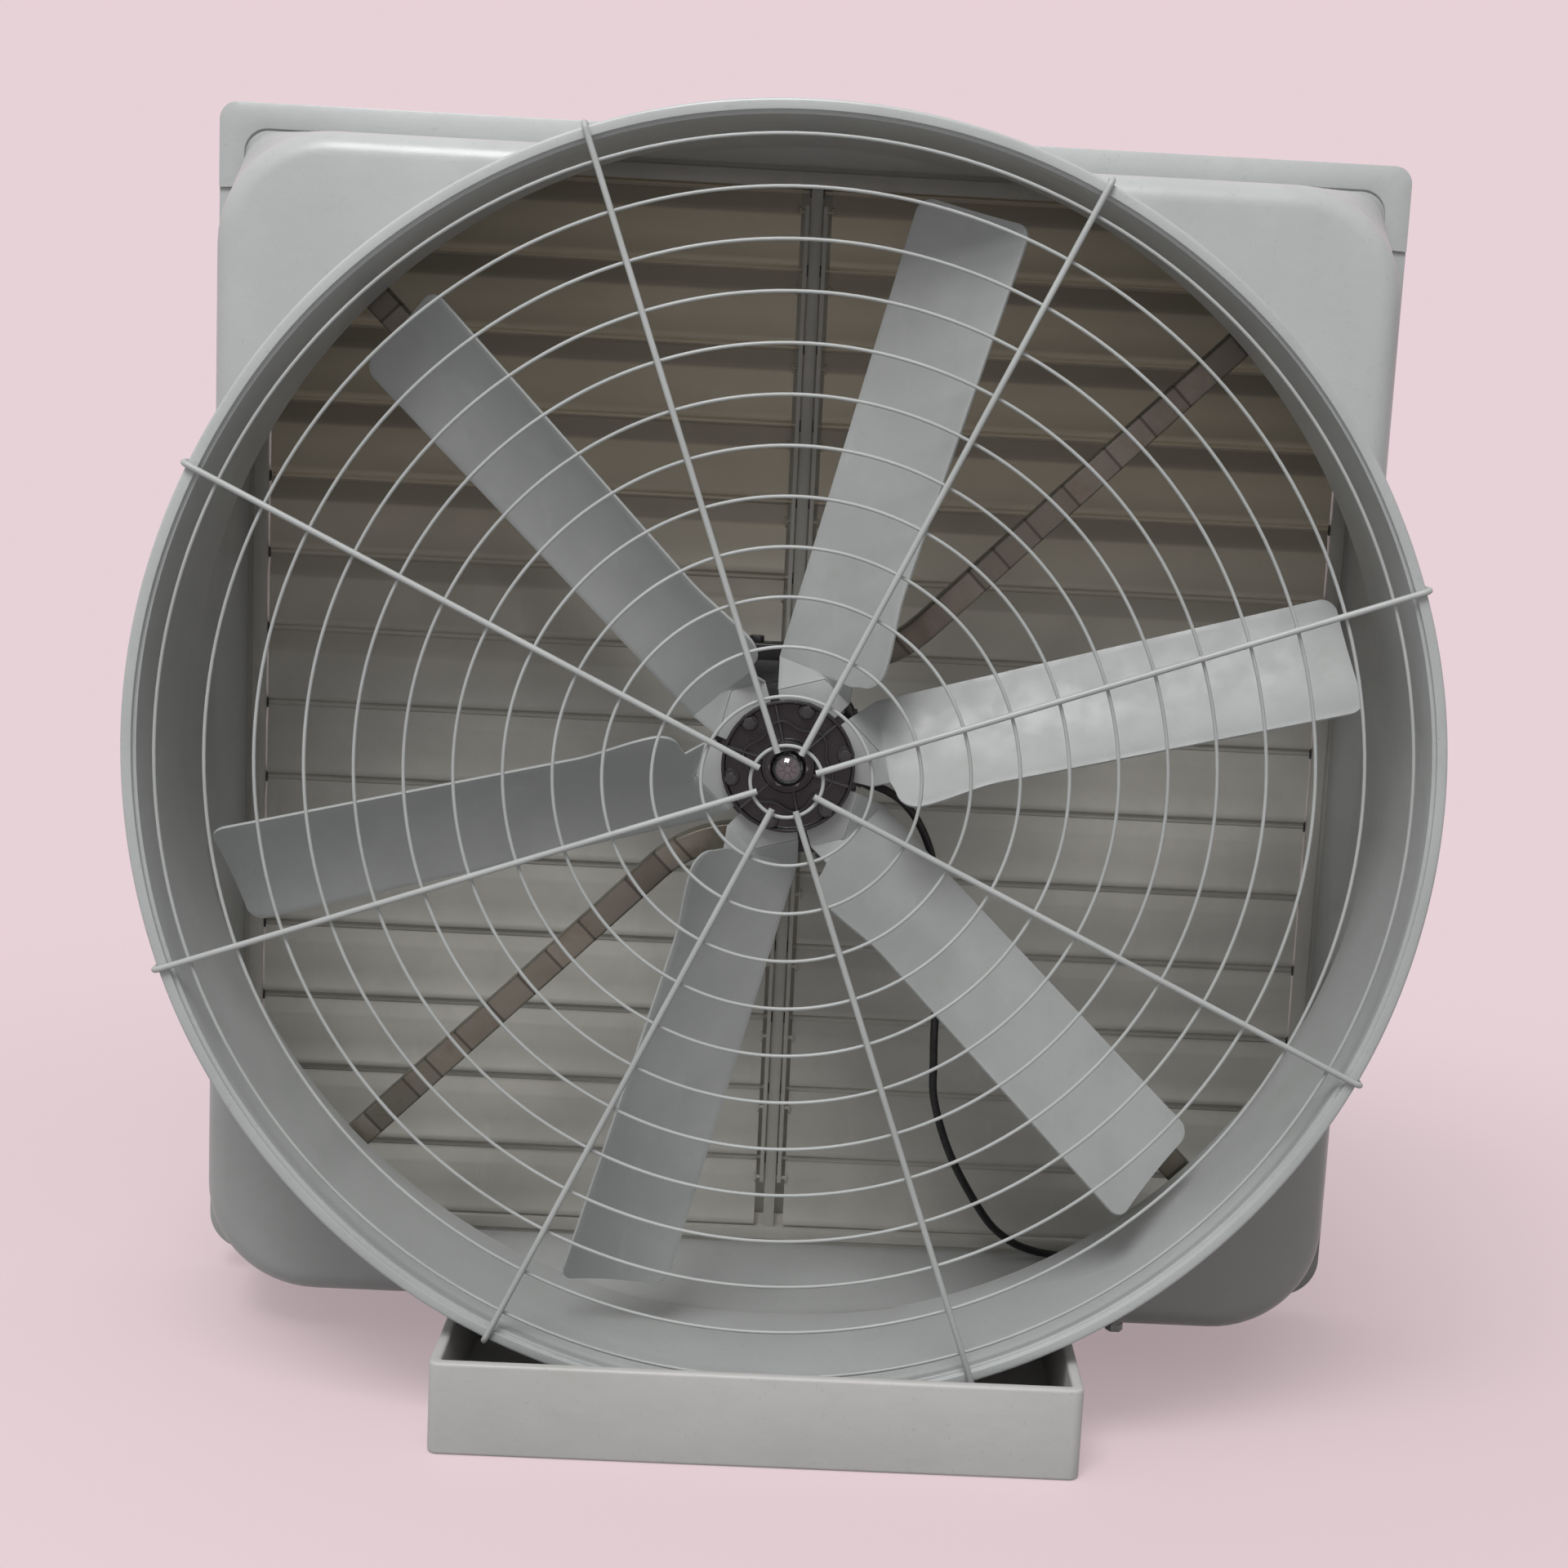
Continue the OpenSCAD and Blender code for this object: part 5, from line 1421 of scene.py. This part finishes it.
class FAN_OT_hub(Step, bpy.types.Operator):
    """Finish the ribbed hub disc, its bolts and the domed nut"""

    bl_idname = "fan.hub"
    bl_label = "Hub"

    def build(self, scene):
        self.disc(scene.fan_impeller)
        for node, slot, edge in (
            ("hub_back", "hub_black", 0.0008),
            ("hub_bolts", "bolt_black", 0.0007),
            ("hub_nuts", "bolt_steel", 0.0006),
            ("hub_washer", "bolt_black", 0.0005),
            ("dome_nut", "nut_chrome", 0.0006),
            ("shaft_key", "shaft_steel", 0.0003),
            ("motor_shaft", "shaft_steel", 0.0005),
            ("rotor", "rotor_aluminium", 0.0006),
        ):
            dressed(node, slot, edge, "impeller")

    def disc(self, s):
        """The cast front disc: rim, boss, a scalloped collar, ribs and a seat for each bolt."""
        low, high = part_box("hub_front")
        front, back = low.y - FAN.y, high.y - FAN.y
        floor = back - s.hub_depth / 2
        body = eased(
            [
                (0.0127, back, 0),
                (0.0127, front, 0.0006),
                (0.0295, front, 0.0012),
                (0.0305, floor, 0.0020),
                (s.hub - 0.0042, floor, 0.0020),
                (s.hub - 0.0036, front, 0.0010),
                (s.hub, front, 0.0014),
                (s.hub, back, 0.0008),
            ]
        )
        parts = [lathe(body, 192), self.collar(s, front, floor)]
        for k in range(BLADES):
            at = s.turn + k * 2 * math.pi / BLADES
            parts.append(self.bolt_seat(s, front, floor, at))
            parts.append(self.rib(s, front, floor, at + math.pi / BLADES))
        disc = mesh_object("hub_casting", *joined(parts), "hub_black", merge=1e-7)
        keep_piece(disc, "impeller", ["hub_front"])

    def collar(self, s, front, floor):
        turns = around(240)
        wave = -0.0042 * np.cos(BLADES * (turns - s.turn))
        rows = [
            ring(s.collar + wave + shift, depth, turns)
            for shift, depth in (
                (-0.0018, floor + 0.0005),
                (-0.0012, front + 0.0018),
                (-0.0008, front + 0.0012),
                (0.0008, front + 0.0012),
                (0.0012, front + 0.0018),
                (0.0018, floor + 0.0005),
            )
        ]
        return loft(rows, closed_rows=True)

    def bolt_seat(self, s, front, floor, at):
        turns = around(40)
        centre = np.array([s.bolts * math.cos(at), 0, s.bolts * math.sin(at)])
        rows = [
            ring(radius, depth, turns) + centre
            for radius, depth in (
                (0.0104, floor + 0.0005),
                (0.0094, front + 0.0034),
                (0.0088, front + 0.0028),
                (0.0052, front + 0.0028),
                (0.0052, floor + 0.0005),
            )
        ]
        return loft(rows, closed_rows=True)

    def rib(self, s, front, floor, at):
        """A tapered rib from the boss to the rim."""
        along = np.array([math.cos(at), 0, math.sin(at)])
        side = np.array([-math.sin(at), 0, math.cos(at)])
        section = [
            side * across + np.array([0, depth, 0])
            for across, depth in (
                (-0.0021, floor + 0.0005),
                (-0.0013, front + 0.0020),
                (-0.0009, front + 0.0015),
                (0.0009, front + 0.0015),
                (0.0013, front + 0.0020),
                (0.0021, floor + 0.0005),
            )
        ]
        return capped(
            [np.array([along * reach + p for p in section]) for reach in (0.0290, s.hub - 0.0030)]
        )


# Motor and brace


class FAN_OT_motor(Step, bpy.types.Operator):
    """Finish the finned motor with its end bells and inner parts"""

    bl_idname = "fan.motor"
    bl_label = "Motor"

    def build(self, scene):
        for node in ("motor_frame", "front_bell", "rear_bell"):
            dressed(node, "motor_black", 0.0008)
        for node in ("bell_screws", "front_bearing", "rear_bearing"):
            dressed(node, "bolt_steel", 0.0004)
        dressed("stator_core", "stator_steel", 0.0005)
        dressed("stator_windings", "copper", 0.0030, segments=3)
        dressed("motor_saddles", "motor_black", 0.0012)
        dressed("motor_bolts", "bolt_black", 0.0008)
        dressed("lead_gland", "plastic_black", 0.0006)


class FAN_OT_brace(Step, bpy.types.Operator):
    """Bend the two square tubes that hold the motor"""

    bl_idname = "fan.brace"
    bl_label = "Brace"

    def build(self, scene):
        s = scene.fan_brace
        for name, up in (("upper", 1), ("lower", -1)):
            node = "brace_" + name
            points, faces = self.tube(s, self.route(s, up))
            tube = mesh_object(node + "_tube", points, faces, "brace_steel")
            keep_piece(tube, "housing", [node])
            self.plates(s, node, up)
        dressed("corner_pads", "shell", 0.0030, segments=3)
        dressed("brace_bolts", "bolt_steel", 0.0006)

    def tube(self, s, path):
        """A square tube with rounded corners along a path in the plane of the brace."""
        outline = rounded_square(s.tube, s.corner)
        rows = []
        for point, ahead in zip(path, headings(path)):
            side = Vector((-ahead.z, 0, ahead.x)).normalized()
            rows.append(np.array([point + side * u + Vector((0, v, 0)) for u, v in outline]))
        return capped(rows)

    def route(self, s, up):
        """The tube's middle line, level behind the hub and bent to the box's corners."""
        run = s.bend * math.tan(math.radians(22.5))
        flat = round((s.level - run) / MM) * MM
        half = [(0.0, s.level)]
        for k in range(13):
            a = math.radians(45 * k / 12)
            half.append((flat + s.bend * math.sin(a), s.level + s.bend * (1 - math.cos(a))))
        bent = Vector(half[-1])
        end = Vector((s.end, s.end))
        for k in range(1, 9):
            half.append(tuple(bent.lerp(end, k / 8)))
        left = [(-x, z) for x, z in reversed(half[1:])]
        return [Vector((x, s.depth, up * z)) for x, z in left + half]

    def plates(self, s, node, up):
        """The foot plates at the tube ends, which lie on the corner pads."""
        side, corner, thick = 0.084, 0.006, 0.004
        front = 0.246 + GAP
        slant = math.sqrt(0.5)
        parts = []
        for x_end in (-s.end, s.end):
            turned = [
                (x_end + slant * (x - z), up * s.end + slant * (x + z))
                for x, z in rounded_square(side, corner)
            ]
            parts.append(plate(turned, front, front + thick))
        feet = mesh_object(node + "_feet", *joined(parts), "brace_steel")
        rounded_edges(feet, 0.0007, over=50)
        keep_piece(baked(feet), "housing")


# Shutter


class FAN_OT_shutter(Step, bpy.types.Operator):
    """Finish the shutter frame, its post and the upright link bars"""

    bl_idname = "fan.shutter"
    bl_label = "Shutter frame"

    def build(self, scene):
        dressed("shutter_frame", "shutter", 0.0009)
        dressed("shutter_post", "shutter", 0.0008)
        dressed("frame_screws", "bolt_steel", 0.0006)
        for side in ("left", "right"):
            dressed("link_bar_" + side, "shutter", 0.0006, "link_" + side)


class FAN_OT_louvers(Step, bpy.types.Operator):
    """Fold the fourteen rows of louvers, left and right of the post"""

    bl_idname = "fan.louvers"
    bl_label = "Louvers"

    def build(self, scene):
        s = scene.fan_shutter
        tree = self.row_tree()
        slat = self.slat(s)
        for k in range(ROWS):
            name = f"louver_row_{k + 1:02d}"
            hinge = FAN + Vector((0, s.hinge_depth, s.first_hinge - k * s.row_pitch))
            row = tree.run(name + "_sheet", slat.copy(), {"Hinge": tuple(hinge)})
            keep_piece(row, f"louver_{k + 1:02d}", [name])
        self.clips(s)

    def section(self, s):
        """Cross-section of a slat in depth and height, from its top edge to its hem."""
        half = s.sheet / 2
        low, knee = -s.louver, -s.band - 0.001
        line = [
            (0.0, s.above),
            (0.0, 0.0015),
            (-0.0008, -0.0022),
            (-s.set + 0.0009, knee + 0.0022),
            (-s.set, knee - 0.0020),
            (-s.set - 0.0005, 0.5 * (low + knee)),
            (-s.set, low + 0.0095),
            (-s.set - 0.0012, low + 0.0075),
            (-s.set - 0.0012, low + 0.0010),
            (-s.set - 0.0004, low),
        ]
        line = [Vector(p) for p in line]
        front, back = [], []
        for point, along in zip(line, headings(line)):
            away = Vector((along.y, -along.x)) * half
            front.append(tuple(point + away))
            back.append(tuple(point - away))
        return front + back[::-1]

    def slat(self, s):
        """One slat with its hinge barrel, end pins, link pin and link tab."""
        barrel, pin = (
            [(radius * math.cos(a), radius * math.sin(a)) for a in around(16)]
            for radius in (0.004, 0.00248)
        )
        link_pin = [(y - 0.010, z - 0.024) for y, z in pin]
        tab = [
            (-0.0060, -0.0175),
            (-0.0135, -0.020),
            (-0.0135, -0.028),
            (-s.set, -0.032),
            (-s.set + 0.0008, -0.023),
        ]
        parts = []
        for outline, ends in (
            (self.section(s), np.linspace(s.inner, s.outer, 13)),
            (barrel, (s.inner, s.outer)),
            (pin, (0.002, s.inner + 0.001)),
            (pin, (s.outer - 0.001, s.outer + 0.0095)),
            (link_pin, (0.0085, s.inner + 0.001)),
            (tab, (s.inner, s.inner + 0.002)),
        ):
            parts.append(capped([np.array([(x, y, z) for y, z in outline]) for x in ends]))
        points, faces = joined(parts)
        mesh = bpy.data.meshes.new("slat")
        mesh.from_pydata(points, [], faces)
        bm = bmesh.new()
        bm.from_mesh(mesh)
        bmesh.ops.recalc_face_normals(bm, faces=bm.faces)
        bm.to_mesh(mesh)
        bm.free()
        return mesh

    def row_tree(self):
        """A slat and its mirrored twin, set at a hinge."""
        t = NodeTree("Louver row", {"Hinge": (0.0, 0.0, 0.0)})
        right = t["Geometry"]
        left = t.add("Transform", Geometry=right, Scale=(-1, 1, 1))[0]
        left = t.add("FlipFaces", Mesh=left)[0]
        moved = t.add("Transform", Geometry=t.gathered(right, left), Translation=t["Hinge"])[0]
        t.close(moved, FINISH["slat"])
        return t

    def clips(self, s):
        """The black oval pivot clips on the frame's sides and beside the post."""
        t = NodeTree(
            "Pivot clips",
            {
                "Rows": ROWS,
                "Pitch": s.row_pitch,
                "First": tuple(FAN + Vector((0, s.hinge_depth - 0.004, s.first_hinge))),
                "Near": 0.0080,
                "Far": s.outer + 0.0012,
            },
        )
        index = t.add("InputIndex")[0]
        row = t.maths("FLOOR", t.maths("DIVIDE", index, 4.0))
        which = t.maths("MODULO", index, 4.0)
        sign = t.maths("SUBTRACT", t.times(t.maths("MODULO", index, 2.0), 2.0), 1.0)
        outer = t.maths("GREATER_THAN", which, 1.5)
        reach = t.maths(
            "ADD", t["Near"], t.times(outer, t.maths("SUBTRACT", t["Far"], t["Near"]))
        )
        drop = t.times(row, t.times(t["Pitch"], -1.0))
        spots = t.add(
            "Points",
            Count=t.times(t["Rows"], 4.0),
            Position=t.vector(t.times(sign, reach), 0.0, drop),
        )[0]
        clip = t.add("MeshCylinder", Vertices=16, Radius=0.5, Depth=1.0, Side_Segments=1)[0]
        clips = t.add(
            "InstanceOnPoints",
            Points=spots,
            Instance=clip,
            Rotation=(0.0, math.pi / 2, 0.0),
            Scale=(0.014, 0.008, 0.0016),
        )[0]
        moved = t.add("Transform", Geometry=clips, Translation=t["First"])[0]
        t.close(moved, FINISH["plastic_black"])
        obj = t.run("pivot_clips", bpy.data.meshes.new("pivot_clips"))
        keep_piece(obj, "housing")


# Junction box and tray


class FAN_OT_junction(Step, bpy.types.Operator):
    """Finish the junction box with its lid and glands"""

    bl_idname = "fan.junction"
    bl_label = "Junction box"

    def build(self, scene):
        dressed("junction_box", "plastic_grey", 0.0015, segments=3)
        dressed("junction_lid", "plastic_grey", 0.0010)
        dressed("box_gland", "plastic_black", 0.0006)
        dressed("supply_gland", "shell", 0.0006)


class FAN_OT_tray(Step, bpy.types.Operator):
    """Finish the moulded floor tray and the dark block under the rim"""

    bl_idname = "fan.tray"
    bl_label = "Floor tray"

    def build(self, scene):
        dressed("base_tray", "tray", 0.0042, segments=4, over=40)
        # The block under the rim is black rubber, whose black also serves as painted shadow under
        # the rim.
        dressed("rim_saddle", "rubber_black", 0.0020, segments=3)


STEPS = (
    FAN_OT_stage,
    FAN_OT_lead,
    FAN_OT_housing,
    FAN_OT_horn,
    FAN_OT_guard,
    FAN_OT_blades,
    FAN_OT_hub,
    FAN_OT_motor,
    FAN_OT_brace,
    FAN_OT_shutter,
    FAN_OT_louvers,
    FAN_OT_junction,
    FAN_OT_tray,
)


class FAN_PT_pieces(bpy.types.Panel):
    """Lists the steps and their sizes"""

    bl_idname = "FAN_PT_pieces"
    bl_label = "Ventilation fan"
    bl_space_type = "VIEW_3D"
    bl_region_type = "UI"
    bl_category = "Fan"

    def draw(self, context):
        for step in STEPS:
            self.layout.operator(step.bl_idname)
        for name, group in GROUPS.items():
            box = self.layout.box()
            box.label(text=group.__doc__)
            for key in group.__annotations__:
                box.prop(getattr(context.scene, name), key)


def register():
    for name, group in GROUPS.items():
        bpy.utils.register_class(group)
        setattr(bpy.types.Scene, name, PointerProperty(type=group))
    for cls in (*STEPS, FAN_PT_pieces):
        bpy.utils.register_class(cls)


def unregister():
    for cls in reversed((*STEPS, FAN_PT_pieces)):
        bpy.utils.unregister_class(cls)
    for name, group in reversed(GROUPS.items()):
        delattr(bpy.types.Scene, name)
        bpy.utils.unregister_class(group)


def main():
    register()
    scene = bpy.context.scene
    make_finishes(scene.fan_colours, FAN.y + scene.fan_horn.reach, scene.fan_shutter)
    for step in STEPS:
        operator = step.bl_idname.split(".")[1]
        getattr(bpy.ops.fan, operator)()
    bpy.context.view_layer.update()


if __name__ == "__main__":
    main()
